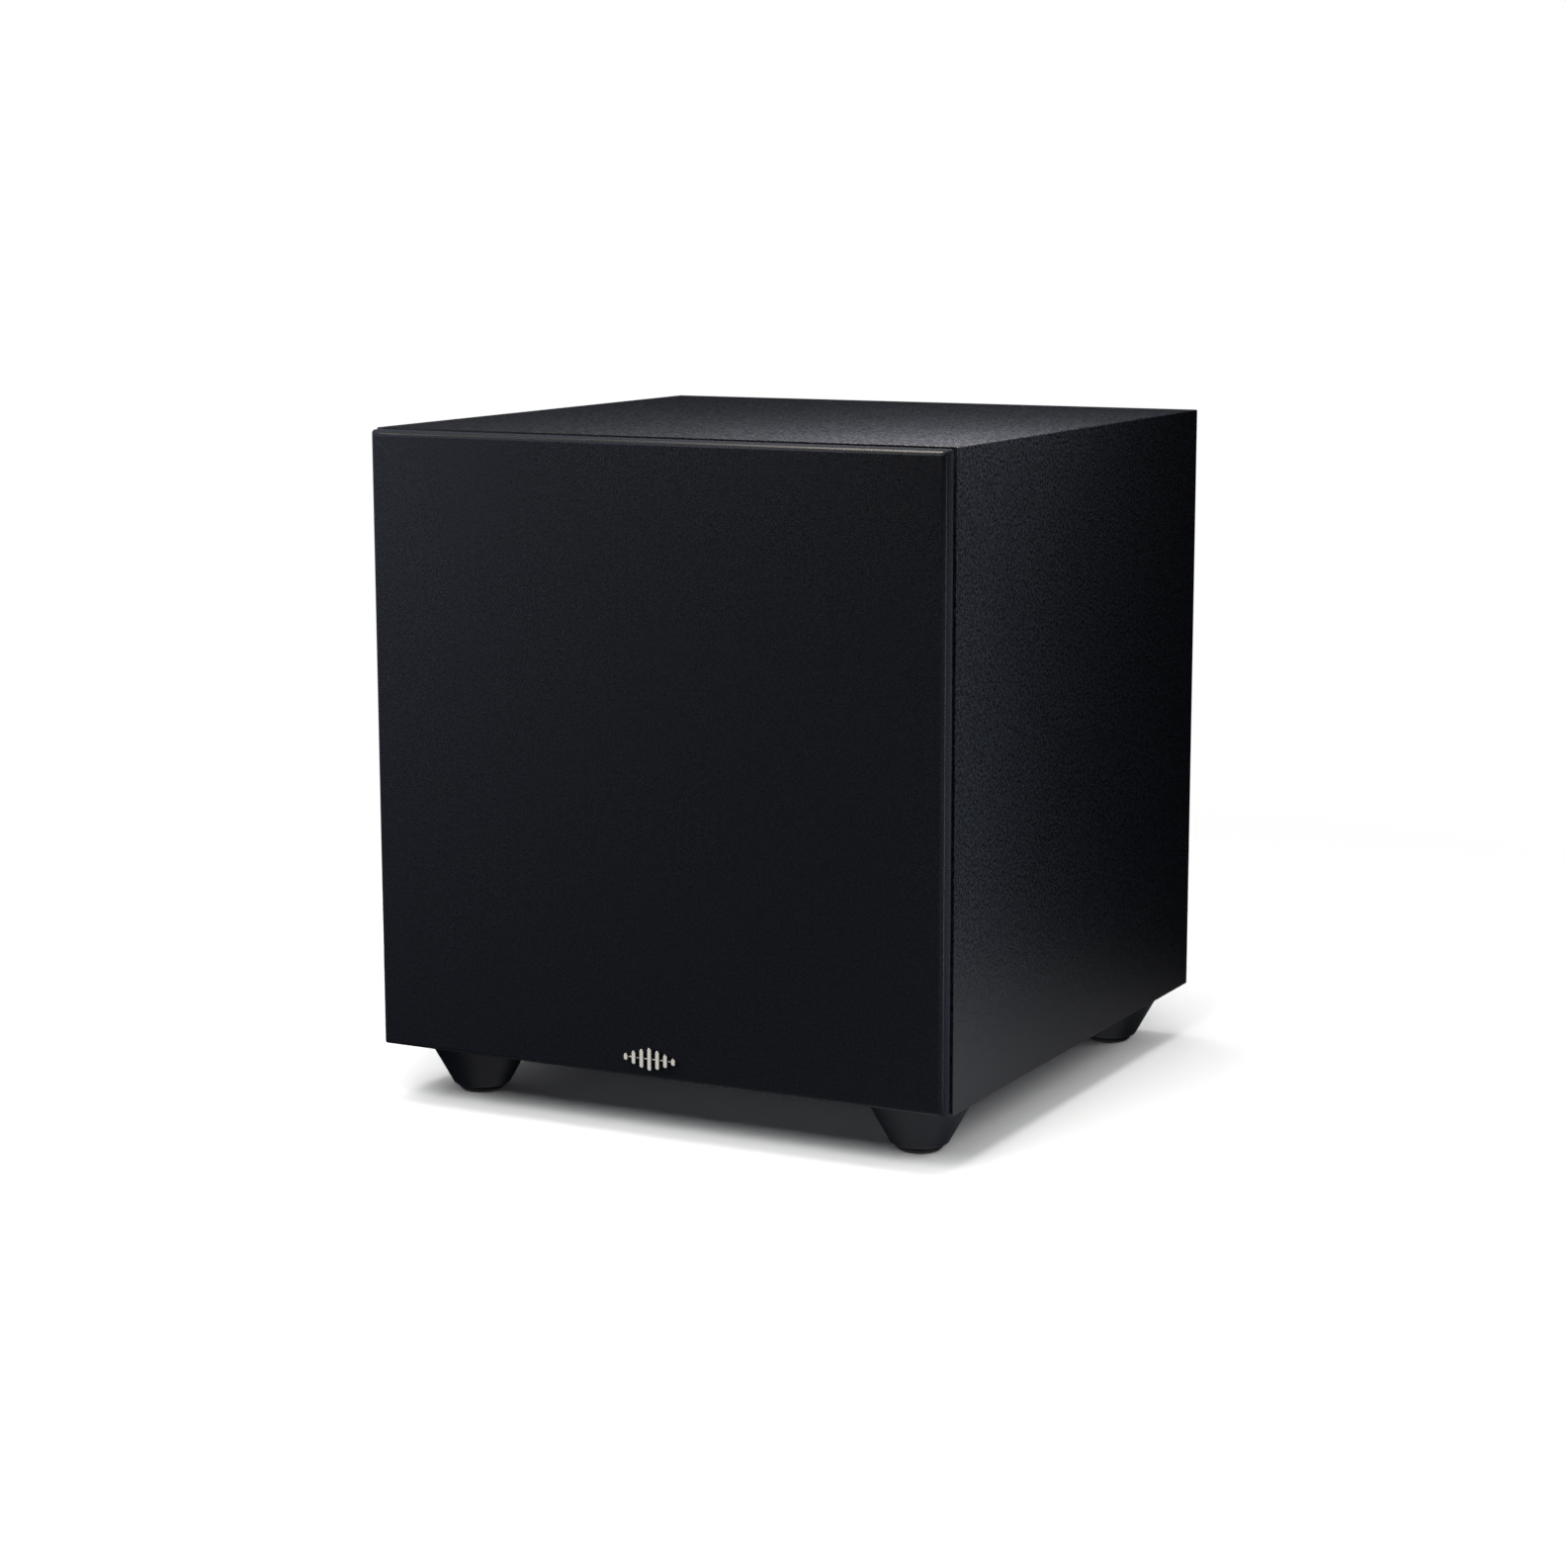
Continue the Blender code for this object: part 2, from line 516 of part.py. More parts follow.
def make_amplifier(finish):
    """The plate amplifier: plate and gasket, controls, sockets, and what hangs behind the plate."""
    face = empty("amplifier", (0, BACK_Y, MIDDLE_Z), REAR_TURN)
    plate_back = PLATE_FACE - PLATE_T

    seal = prism(rounded((CUTOUT_W + 0.018) / MM, (CUTOUT_H + 0.018) / MM, 5), AMP_GASKET_T - TOUCH, TOUCH)
    seal = piece("amp_gasket", seal, finish["rubber"], face)
    cut(seal, block(CUTOUT_W + 0.002, CUTOUT_H + 0.002, 0.02))

    outline = rounded(PLATE_W / MM, PLATE_H / MM, 4)
    plate = piece("amp_plate", prism(outline, PLATE_T, plate_back), finish["plate"], face)
    for place in KNOB_PLACES.values():
        cut(plate, prism(circle(4.9, 16), 0.02, -0.005), at=(*place, 0))
    for place in JACK_PLACES.values():
        cut(plate, prism(circle(5.2, 16), 0.02, -0.005), at=(*place, 0))
    cut(plate, prism(circle(2.0, 12), 0.02, -0.005), at=(*LED_AT, 0))
    cut(plate, block(0.012, 0.0056, 0.02), at=(*MODE_SWITCH_AT, PLATE_FACE))
    cut(plate, block(0.0140, 0.0206, 0.02), at=(*ROCKER_AT, PLATE_FACE))
    cut(plate, block(0.0286, 0.0386, 0.02), at=(*INLET_AT, PLATE_FACE))

    for name, place in KNOB_PLACES.items():
        make_control(name, place, finish, face)
    for name, place in JACK_PLACES.items():
        shell = [
            (0, -9), (6.2, -9), (6.2, 1.9), (4.9, 1.9), (4.9, 5.6), (6.4, 5.6), (6.4, 7.2),
            (4.15, 7.2), (4.15, 14.0), (3.8, 14.4), (1.7, 14.4), (1.7, 6.0), (0, 6.0),
        ]
        jack = turned(shell, 20)
        piece(f"input_jack_{name}", jack, finish["brass"], face, at=(*place, 0), round_shape=True)

    lens = [(0, -4), (1.7, -4), (1.7, 5.2), (1.5, 5.9), (0, 6.4)]
    piece("status_led", turned(lens, 12), finish["lens"], face, at=(*LED_AT, 0), round_shape=True)
    make_mode_switch(finish, face)
    make_rocker(finish, face)
    make_inlet(finish, face)

    ring = arc((38, -6), 8, 90, 0, 2) + arc((38, -34), 8, 0, -90, 2)
    ring += arc((26, -34), 8, -90, -180, 2) + arc((26, -6), 8, 180, 90, 2)
    ring, at = turned(ring, 28), (*TOROID_AT, 0)
    piece("toroidal_transformer", ring, finish["tape"], face, at=at, round_shape=True)
    circuit = block(0.120, 0.096, 0.0016)
    piece("power_board", circuit, finish["circuit"], face, at=(*BOARD_AT, -0.0308))
    controls = block(0.224, 0.028, 0.0016)
    piece("control_board", controls, finish["circuit"], face, at=(0.001, 0.078, -0.0086))
    can = [(0, -66), (11.6, -66), (12.5, -65), (12.5, -33), (11.6, -31.9), (0, -31.9)]
    for name, offset in (("left", -0.040), ("right", -0.010)):
        at = (BOARD_AT[0] + offset, BOARD_AT[1] - 0.022, 0)
        piece(f"capacitor_{name}", turned(can, 20), finish["sleeve"], face, at=at, round_shape=True)


def make_control(name, place, finish, face):
    """A potentiometer behind the plate, and its knob with the shaft that turns in it."""
    at = (*place, 0)
    pot = piece(f"{name}_pot", prism(rounded(17, 20, 1), 0.009, -0.0072), finish["steel"], face, at=at)
    join(pot, prism(circle(4.5, 16), 0.0046, 0.0004), at=at)
    cut(pot, prism(circle(3.4, 16), 0.02, -0.004), at=at)
    foot, top = (PLATE_FACE + KNOB_LIFT) / MM, (PLATE_FACE + KNOB_LIFT + KNOB_H) / MM
    outline = [
        (0, -2), (3.0, -2), (3.0, foot + 1.6), (7.6, foot + 1.6), (7.6, foot),
        (10.0, foot), (10.0, foot + 1), (9.0, top - 1.2), (8.2, top), (0, top),
    ]
    shape = turned(outline, 24)
    knob = piece(f"{name}_knob", shape, finish["fitting"], face, at=at, round_shape=True)
    cut(knob, block(0.0012, 0.008, 0.0016), at=(place[0], place[1] + 0.0065, top * MM))


def make_mode_switch(finish, face):
    """A three-place slide switch: its housing behind the plate and its lever in the slot."""
    x, y = MODE_SWITCH_AT
    housing = piece("mode_switch", block(0.022, 0.009, 0.009), finish["steel"], face, at=(x, y, -0.003))
    cut(housing, block(0.0112, 0.0044, 0.009), at=(x, y, 0.0005))
    lever = block(0.0042, 0.0036, 0.0100, edge=0.0004)
    piece("mode_slider", lever, finish["fitting"], face, at=(x, y, 0.0034))


def make_rocker(finish, face):
    """The power switch: a framed housing, and a rocker that tips about a level axis."""
    x, y = ROCKER_AT
    rim = prism(rounded(17, 24, 1.5), 0.0018, PLATE_FACE + TOUCH)
    housing = piece("rocker_housing", rim, finish["fitting"], face, at=(x, y, 0))
    join(housing, block(0.0132, 0.0198, 0.020), at=(x, y, PLATE_FACE - 0.009))
    cut(housing, block(0.0106, 0.0174, 0.016), at=(x, y, PLATE_FACE - 0.001))
    pivot = empty("rocker_pivot", (x, y, PLATE_FACE - 0.002), (ROCKER_TILT, 0, 0))
    pivot.parent = face
    side = [(-7.2, -3.2), (7.2, -3.2), (7.4, 6.6), (6.4, 7.2), (0, 5.4), (-6.4, 7.2), (-7.4, 6.6)]
    # The outline is drawn across the rocker and raised along its axis.
    turn = (math.radians(90), 0, math.radians(90))
    piece("power_rocker", prism(side, 0.0098, -0.0049), finish["fitting"], pivot, turn=turn)


def make_inlet(finish, face):
    """The mains inlet with its three pins, and the fuse drawer below them that slides out."""
    x, y = INLET_AT
    rim_front = PLATE_FACE + TOUCH + 0.0022
    rim = prism(rounded(32, 42, 2), 0.0022, PLATE_FACE + TOUCH)
    inlet = piece("mains_inlet", rim, finish["fitting"], face, at=(x, y, 0))
    body_back = PLATE_FACE - 0.030
    join(inlet, block(0.0276, 0.0376, 0.0312), at=(x, y, body_back + 0.0156))
    half, low, bend, high = 12.3, -2.4, 10.2, 14.4
    recess = [(-half, low), (half, low), (half, bend), (8.2, high), (-8.2, high), (-half, bend)]
    recess_floor = rim_front - 0.0165
    cut(inlet, prism(recess, 0.03, recess_floor), at=(x, y, 0))
    drawer_y = y - 0.0120
    cut(inlet, block(0.0222, 0.0082, 0.050), at=(x, drawer_y, rim_front))

    carrier = block(0.022, 0.011, 0.0012)
    carrier_z = body_back - 0.0008
    pins = piece("inlet_pins", carrier, finish["brass"], face, at=(x, y + 0.007, carrier_z))
    blade = recess_floor + 0.014 - carrier_z
    for across, up in ((-0.007, 0.005), (0.007, 0.005), (0, 0.0094)):
        place = (x + across, y + up)
        cut(inlet, block(0.0024, 0.0044, 0.06), at=(*place, body_back))
        join(pins, block(0.0020, 0.0040, blade), at=(*place, carrier_z + blade / 2))

    lip = 0.0012
    at = (x, drawer_y, rim_front + TOUCH + lip / 2)
    drawer = piece("fuse_drawer", block(0.0236, 0.0096, lip, edge=0.0003), finish["fitting"], face, at=at)
    join(drawer, block(0.0216, 0.0076, 0.022), at=(x, drawer_y, rim_front + TOUCH - 0.0106))
    cut(drawer, block(0.018, 0.012, 0.006), at=(x, drawer_y, rim_front - 0.012))


def main():
    clear_scene()
    finish = make_finishes()
    make_cabinet(finish)
    make_feet(finish)
    make_port(finish)
    make_grille(finish)
    make_driver(finish)
    make_amplifier(finish)


main()
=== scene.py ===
"""The looks of a powered subwoofer: a wrapped near-cube cabinet on cone feet, a stretched cloth grille, a
long-throw driver behind it, a port that fires at the floor and a plate amplifier on the back.

Outlines and profiles are in millimetres, because that is how such parts are drawn. Places are in metres, and
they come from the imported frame.
"""

from __future__ import annotations

import json
import logging
import math
from collections.abc import Callable, Sequence
from dataclasses import dataclass, field
from enum import Enum

import bmesh
import bpy
from mathutils import Matrix, Vector, noise

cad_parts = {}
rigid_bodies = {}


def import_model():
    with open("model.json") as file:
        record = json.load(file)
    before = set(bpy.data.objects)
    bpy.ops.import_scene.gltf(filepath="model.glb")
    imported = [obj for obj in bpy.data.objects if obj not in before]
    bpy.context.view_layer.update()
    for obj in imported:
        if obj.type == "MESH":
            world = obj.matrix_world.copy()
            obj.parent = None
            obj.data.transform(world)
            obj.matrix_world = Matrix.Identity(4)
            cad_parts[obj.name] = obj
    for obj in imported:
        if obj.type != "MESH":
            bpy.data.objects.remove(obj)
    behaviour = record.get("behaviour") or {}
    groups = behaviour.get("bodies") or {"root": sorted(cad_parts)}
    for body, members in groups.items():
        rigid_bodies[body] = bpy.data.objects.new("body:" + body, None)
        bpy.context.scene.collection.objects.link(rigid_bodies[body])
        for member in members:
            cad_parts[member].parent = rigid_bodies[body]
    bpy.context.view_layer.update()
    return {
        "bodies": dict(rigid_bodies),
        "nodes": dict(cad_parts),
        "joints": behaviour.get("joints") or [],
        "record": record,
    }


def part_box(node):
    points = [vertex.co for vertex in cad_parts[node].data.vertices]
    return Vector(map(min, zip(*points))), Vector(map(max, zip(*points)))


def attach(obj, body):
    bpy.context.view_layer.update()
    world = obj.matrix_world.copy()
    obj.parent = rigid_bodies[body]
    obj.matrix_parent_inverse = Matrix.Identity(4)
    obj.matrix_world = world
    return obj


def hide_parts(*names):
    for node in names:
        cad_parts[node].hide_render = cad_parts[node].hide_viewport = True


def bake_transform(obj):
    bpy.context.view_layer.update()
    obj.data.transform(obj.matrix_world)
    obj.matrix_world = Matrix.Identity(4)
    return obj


LOG = logging.getLogger("subwoofer")
MM = 0.001
CORNERS = ("top_left", "top_right", "bottom_left", "bottom_right")

Point = tuple[float, float]
Radius = float | Callable[[float], float]


# ----------------------------------------------------------------------------------------------------
# Finishes
# ----------------------------------------------------------------------------------------------------


def linear(code: str, alpha: float = 1.0) -> tuple[float, float, float, float]:
    """Turns an sRGB hex colour into linear light.

    Args:
        code: Six hex digits, without a hash.
        alpha: The fourth number of the result.

    Returns:
        Red, green, blue and alpha, from 0 to 1.
    """
    levels = [int(code[i : i + 2], 16) / 255 for i in (0, 2, 4)]
    red, green, blue = (v / 12.92 if v <= 0.04045 else ((v + 0.055) / 1.055) ** 2.4 for v in levels)
    return red, green, blue, alpha


def add(
    tree: bpy.types.NodeTree, kind: str, inputs: dict[str | int, object] | None = None, **settings: object
) -> bpy.types.Node:
    """Adds a node with its settings and links.

    Args:
        tree: The node tree that gets it.
        kind: The node's type name.
        inputs: Values by input, where a socket as the value makes a link.
        **settings: Properties of the node.

    Returns:
        The new node.
    """
    made = tree.nodes.new(kind)
    for name, value in settings.items():
        setattr(made, name, value)
    for name, value in (inputs or {}).items():
        if isinstance(value, bpy.types.NodeSocket):
            tree.links.new(value, made.inputs[name])
        else:
            made.inputs[name].default_value = value
    return made


def empty_material(name: str) -> tuple[bpy.types.Material, bpy.types.NodeTree, bpy.types.Node]:
    """Makes a material that holds one Principled shader.

    Args:
        name: The material's name.

    Returns:
        The material, its node tree and its shader.
    """
    material = bpy.data.materials.new(name)
    material.use_nodes = True
    tree = material.node_tree
    return material, tree, tree.nodes["Principled BSDF"]


@dataclass(frozen=True)
class Finish:
    """A surface whose colour drifts a little, with a fine relief: mouldings, paint, rubber and plating.

    Attributes:
        name: What the real finish is.
        colour: Its sRGB colour.
        drift: The sRGB colour that it drifts towards.
        roughness: How matt it is, from 0 to 1.
        swing: How far its roughness varies.
        metallic: 1 for bare metal.
        grain_mm: Size of the relief's grains.
        relief_mm: Height of the relief.
        patch_mm: Size of the patches that the colour drifts in.
        stretch: How much longer than wide the grains are along X, as on brushed metal.
        speckle: How far single grains are lighter or darker, as a share of the colour.
        settings: Values for other sockets of the shader.
    """

    name: str
    colour: str
    drift: str
    roughness: float
    swing: float = 0.06
    metallic: float = 0.0
    grain_mm: float = 0.8
    relief_mm: float = 0.02
    patch_mm: float = 45.0
    stretch: float = 1.0
    speckle: float = 0.06
    settings: dict[str, object] = field(default_factory=dict)

    def build(self) -> bpy.types.Material:
        """Makes the material.

        Returns:
            The material.
        """
        material, tree, shader = empty_material(self.name)
        place = add(tree, "ShaderNodeTexCoord").outputs["Object"]
        if self.stretch != 1.0:
            scale = (1 / self.stretch, 1.0, 1.0)
            place = add(tree, "ShaderNodeMapping", {"Vector": place, "Scale": scale}).outputs[0]
        patch = {"Vector": place, "Scale": 1 / (self.patch_mm * MM), "Detail": 3.0}
        grain = {"Vector": place, "Scale": 1 / (self.grain_mm * MM), "Detail": 2.0, "Roughness": 0.6}
        patches = add(tree, "ShaderNodeTexNoise", patch).outputs["Fac"]
        grains = add(tree, "ShaderNodeTexNoise", grain).outputs["Fac"]
        blend = {"Factor": patches, "A": linear(self.colour), "B": linear(self.drift)}
        colour = self.speckled(tree, self.mix(tree, blend), grains, self.speckle)
        spread = {0: grains, 1: 0.3, 2: 0.7, 3: self.roughness - self.swing, 4: self.roughness + self.swing}
        rough = add(tree, "ShaderNodeMapRange", spread).outputs[0]
        bump = {"Height": grains, "Strength": 1.0, "Distance": self.relief_mm * MM}
        tree.links.new(colour, shader.inputs["Base Color"])
        tree.links.new(rough, shader.inputs["Roughness"])
        tree.links.new(add(tree, "ShaderNodeBump", bump).outputs[0], shader.inputs["Normal"])
        shader.inputs["Metallic"].default_value = self.metallic
        for name, value in self.settings.items():
            shader.inputs[name].default_value = value
        return material

    @staticmethod
    def speckled(
        tree: bpy.types.NodeTree, colour: bpy.types.NodeSocket, grains: bpy.types.NodeSocket, share: float
    ) -> bpy.types.NodeSocket:
        """Makes single grains of a colour lighter or darker.

        Args:
            tree: The node tree.
            colour: The socket that gives the colour.
            grains: The socket of the noise that places the grains.
            share: How far a grain may be lighter or darker.

        Returns:
            The new colour's socket.
        """
        spread = {0: grains, 1: 0.35, 2: 0.65, 3: 1 - share, 4: 1 + share}
        level = add(tree, "ShaderNodeMapRange", spread).outputs[0]
        return add(tree, "ShaderNodeVectorMath", {0: colour, "Scale": level}, operation="SCALE").outputs[0]

    @staticmethod
    def mix(tree: bpy.types.NodeTree, blend: dict[str, object]) -> bpy.types.NodeSocket:
        """Mixes two colours.

        Args:
            tree: The node tree.
            blend: Factor, A and B, each a value or a socket.

        Returns:
            The mixed colour's socket.
        """
        node = add(tree, "ShaderNodeMix", data_type="RGBA")
        sockets = {"Factor": node.inputs[0], "A": node.inputs[6], "B": node.inputs[7]}
        for name, value in blend.items():
            if isinstance(value, bpy.types.NodeSocket):
                tree.links.new(value, sockets[name])
            else:
                sockets[name].default_value = value
        return node.outputs[2]


@dataclass(frozen=True)
class GrilleCloth:
    """Black polyester grille cloth, knitted open so that sound passes, and pulled tight.

    Its threads stand 0.5 mm apart. They are drawn 0.9 mm apart, because finer ones wouldn't show.
    """

    name: str = "grille_cloth"
    colour: str = "131722"
    drift: str = "181c28"
    thread_mm: float = 0.9
    relief_mm: float = 0.10

    def build(self) -> bpy.types.Material:
        """Makes the material, which reads the cloth's own flat coordinates.

        Returns:
            The material.
        """
        material, tree, shader = empty_material(self.name)
        flat = add(tree, "ShaderNodeUVMap", uv_map="flat").outputs[0]
        axes = add(tree, "ShaderNodeSeparateXYZ", {0: flat})
        waves = []
        for axis in (0, 1):
            phase = {0: axes.outputs[axis], 1: math.tau / (self.thread_mm * MM)}
            turn = add(tree, "ShaderNodeMath", phase, operation="MULTIPLY").outputs[0]
            waves.append(add(tree, "ShaderNodeMath", {0: turn}, operation="SINE").outputs[0])
        weave = add(tree, "ShaderNodeMath", {0: waves[0], 1: waves[1]}, operation="MULTIPLY").outputs[0]
        slub = {"Vector": flat, "Scale": 1 / (1.8 * MM), "Detail": 4.0, "Roughness": 0.7}
        slubs = add(tree, "ShaderNodeTexNoise", slub).outputs["Fac"]
        both = {0: slubs, 1: 1.6, 2: weave}
        height = add(tree, "ShaderNodeMath", both, operation="MULTIPLY_ADD").outputs[0]
        bump = {"Height": height, "Strength": 1.0, "Distance": self.relief_mm * MM}
        colour = Finish.mix(tree, {"Factor": slubs, "A": linear(self.colour), "B": linear(self.drift)})
        colour = Finish.speckled(tree, colour, slubs, 0.45)
        tree.links.new(colour, shader.inputs["Base Color"])
        tree.links.new(add(tree, "ShaderNodeBump", bump).outputs[0], shader.inputs["Normal"])
        shader.inputs["Roughness"].default_value = 0.85
        shader.inputs["Specular IOR Level"].default_value = 0.25
        shader.inputs["Sheen Weight"].default_value = 0.10
        shader.inputs["Sheen Roughness"].default_value = 0.45
        shader.inputs["Sheen Tint"].default_value = linear("aab4d0")
        return material


@dataclass(frozen=True)
class CircuitBoard:
    """Green glass-fibre board: solder mask over copper tracks that run square to each other."""

    name: str = "circuit_board"
    mask: str = "0d4a26"
    track: str = "17683a"
    pitch_mm: float = 6.0

    def build(self) -> bpy.types.Material:
        """Makes the material.

        Returns:
            The material.
        """
        material, tree, shader = empty_material(self.name)
        place = add(tree, "ShaderNodeTexCoord").outputs["Object"]
        axes = add(tree, "ShaderNodeSeparateXYZ", {0: place})
        flat = add(tree, "ShaderNodeCombineXYZ", {0: axes.outputs[0], 1: axes.outputs[2]}).outputs[0]
        brick = {"Vector": flat, "Scale": 1 / (self.pitch_mm * MM), "Mortar Size": 0.06, "Row Height": 0.5}
        tracks = add(tree, "ShaderNodeTexBrick", brick).outputs["Fac"]
        colour = Finish.mix(tree, {"Factor": tracks, "A": linear(self.mask), "B": linear(self.track)})
        bump = {"Height": tracks, "Strength": 0.6, "Distance": 0.05 * MM}
        tree.links.new(colour, shader.inputs["Base Color"])
        tree.links.new(add(tree, "ShaderNodeBump", bump).outputs[0], shader.inputs["Normal"])
        shader.inputs["Roughness"].default_value = 0.35
        return material


@dataclass(frozen=True)
class Banded:
    """Tape or wire wound round and round: bands across one axis, each a little different.

    Attributes:
        name: What the real finish is.
        colour: Its sRGB colour.
        groove: The sRGB colour between two turns.
        band_mm: Width of one turn.
        metallic: 1 for bare or enamelled wire.
        roughness: How matt it is.
    """

    name: str
    colour: str
    groove: str
    band_mm: float
    metallic: float = 0.0
    roughness: float = 0.4

    def build(self) -> bpy.types.Material:
        """Makes the material.

        Returns:
            The material.
        """
        material, tree, shader = empty_material(self.name)
        place = add(tree, "ShaderNodeTexCoord").outputs["Object"]
        wave = {"Vector": place, "Scale": 1 / (self.band_mm * MM) / 3.2, "Distortion": 0.6, "Detail": 1.0}
        bands = add(tree, "ShaderNodeTexWave", wave, bands_direction="Y").outputs["Fac"]
        colour = Finish.mix(tree, {"Factor": bands, "A": linear(self.groove), "B": linear(self.colour)})
        bump = {"Height": bands, "Strength": 0.8, "Distance": 0.2 * self.band_mm * MM}
        tree.links.new(colour, shader.inputs["Base Color"])
        tree.links.new(add(tree, "ShaderNodeBump", bump).outputs[0], shader.inputs["Normal"])
        shader.inputs["Metallic"].default_value = self.metallic
        shader.inputs["Roughness"].default_value = self.roughness
        return material


CLOTH_SHEEN = {"Sheen Weight": 0.3, "Sheen Roughness": 0.5}
FINISHES = {
    # Vinyl film over fibreboard: satin, with a leather-fine grain that breaks up its sheen.
    "wrap": Finish(
        "satin_vinyl_wrap", "1a1d26", "1e2129", 0.39, 0.09, grain_mm=1.8, relief_mm=0.12, speckle=0.8,
    ),
    "baffle": Finish("satin_baffle_paint", "191a1d", "1d1e22", 0.48, 0.05, grain_mm=1.0, relief_mm=0.02),
    # Pressed wood fibre: pale brown with darker flecks, quite matt.
    "board": Finish(
        "raw_fibreboard", "8d6f4f", "75583c", 0.85, 0.05, grain_mm=1.6, relief_mm=0.05, patch_mm=9,
    ),
    # Glass-filled nylon, moulded against a fine spark texture: an even semi-matt black.
    "moulding": Finish("moulded_black_nylon", "161719", "1b1c1f", 0.5, 0.06, grain_mm=0.7, relief_mm=0.02),
    # ABS from a polished mould: smooth satin black with a soft broad highlight.
    "foot": Finish(
        "satin_black_abs", "1b1e27", "20232c", 0.42, 0.03, grain_mm=2.0, relief_mm=0.006,
        settings={"Specular IOR Level": 0.3},
    ),
    "port": Finish("port_tube_abs", "151618", "1a1b1e", 0.42, 0.04, grain_mm=2.0, relief_mm=0.01),
    # Santoprene and butyl: dead black, slightly bloomed.
    "rubber": Finish("black_rubber", "141416", "1b1b1d", 0.72, 0.06, grain_mm=0.9, relief_mm=0.02),
    "surround": Finish("butyl_surround", "131315", "19191b", 0.52, 0.05, grain_mm=1.5, relief_mm=0.012),
    # Die-cast aluminium under powder coat: a faint orange peel.
    "casting": Finish("powder_coated_casting", "18191b", "1e1f22", 0.5, 0.08, grain_mm=1.8, relief_mm=0.06),
    # Long-fibre pulp with a brushed-on coat.
    "cone": Finish(
        "coated_paper_cone", "191a1c", "202124", 0.56, 0.08, grain_mm=2.4, relief_mm=0.09, patch_mm=25,
    ),
    "dust_cap": Finish("pressed_dust_cap", "17181a", "1b1c1f", 0.34, 0.04, grain_mm=1.6, relief_mm=0.01),
    "spider": Finish(
        "phenolic_cotton", "9a6a2c", "7d5220", 0.85, 0.05, grain_mm=0.8, relief_mm=0.08, patch_mm=12,
    ),
    "copper": Banded("enamelled_copper_wire", "b8652f", "6e3515", 0.6, 1.0, 0.32),
    "steel": Finish("zinc_plated_steel", "a9adb2", "989ca3", 0.32, 0.08, 1.0, grain_mm=1.4, relief_mm=0.01),
    # Fired barium ferrite, ground flat: charcoal grey with pin holes.
    "ferrite": Finish(
        "sintered_ferrite", "343437", "28282b", 0.62, 0.1, grain_mm=1.1, relief_mm=0.05, patch_mm=15,
    ),
    # Rolled aluminium, bead blasted and dyed black: fine sparkle under the dye.
    "plate": Finish(
        "black_anodised_plate", "1d1e20", "222326", 0.44, 0.07, 0.35, grain_mm=0.8, relief_mm=0.03,
    ),
    "oxide": Finish("black_oxide_steel", "202124", "2a2b2f", 0.36, 0.05, 0.8, grain_mm=0.6, relief_mm=0.01),
    # Bright nickel under chrome, on a zinc casting, a little warm.
    "chrome": Finish(
        "bright_nickel_plate", "d8d5ce", "cbc8c0", 0.27, 0.03, 1.0, grain_mm=1.5, relief_mm=0.006,
    ),
    "gold": Finish("gold_flashed_brass", "d3a54e", "c39443", 0.22, 0.04, 1.0, grain_mm=1.0, relief_mm=0.005),
    "print": Finish("white_screen_print", "c9cacb", "bdbec0", 0.6, 0.03, grain_mm=0.6, relief_mm=0.004),
    "red": Finish("red_insulator", "a51f1c", "941a18", 0.4, 0.03, grain_mm=0.8, relief_mm=0.006),
    "white": Finish("white_insulator", "cfcfca", "c3c3be", 0.4, 0.03, grain_mm=0.8, relief_mm=0.006),
    "sleeve": Finish("capacitor_sleeve", "182a55", "14244a", 0.3, 0.04, grain_mm=3.0, relief_mm=0.01),
    "tape": Banded("yellow_polyester_tape", "b98f1e", "7c5c10", 9.0, 0.0, 0.38),
    # Loose polyester fibre: off-white and very matt.
    "wool": Finish(
        "polyester_wool", "c4c3bd", "aeada6", 0.95, 0.03, grain_mm=1.2, relief_mm=0.6, settings=CLOTH_SHEEN,
    ),
    "lens": Finish(
        "blue_led_lens", "2e63c9", "3a70d6", 0.15, 0.03, grain_mm=2.0, relief_mm=0.002,
        settings={"Emission Color": linear("3f7bff"), "Emission Strength": 0.6},
    ),
    "circuit": CircuitBoard(),
    "cloth": GrilleCloth(),
}


# ----------------------------------------------------------------------------------------------------
# Shapes
# ----------------------------------------------------------------------------------------------------


def arc(centre: Point, radius: float, start: float, end: float, steps: int) -> list[Point]:
    """Points on a circle's arc, both ends included.

    Args:
        centre: The circle's middle.
        radius: The circle's radius.
        start: Angle of the first point, in degrees.
        end: Angle of the last point, in degrees.
        steps: How many straight pieces the arc has.

    Returns:
        The points in order.
    """
    turns = [math.radians(start + (end - start) * i / steps) for i in range(steps + 1)]
    return [(centre[0] + radius * math.cos(a), centre[1] + radius * math.sin(a)) for a in turns]


def circle(radius: float, steps: int = 96, centre: Point = (0.0, 0.0)) -> list[Point]:
    """A circle's outline."""
    return arc(centre, radius, 0, 360 - 360 / steps, steps - 1)


def rounded(
    width: float, height: float, radius: float, steps: int = 5, centre: Point = (0.0, 0.0)
) -> list[Point]:
    """A rectangle's outline with round corners.

    Args:
        width: The rectangle's width.
        height: The rectangle's height.
        radius: Radius of its corners.
        steps: Straight pieces in each corner.
        centre: The rectangle's middle.

    Returns:
        The outline, anticlockwise from the upper right corner.
    """
    x, y = width / 2 - radius, height / 2 - radius
    made: list[Point] = []
    for right, up, start in ((x, y, 0), (-x, y, 90), (-x, -y, 180), (x, -y, 270)):
        made += arc((centre[0] + right, centre[1] + up), radius, start, start + 90, steps)
    return made


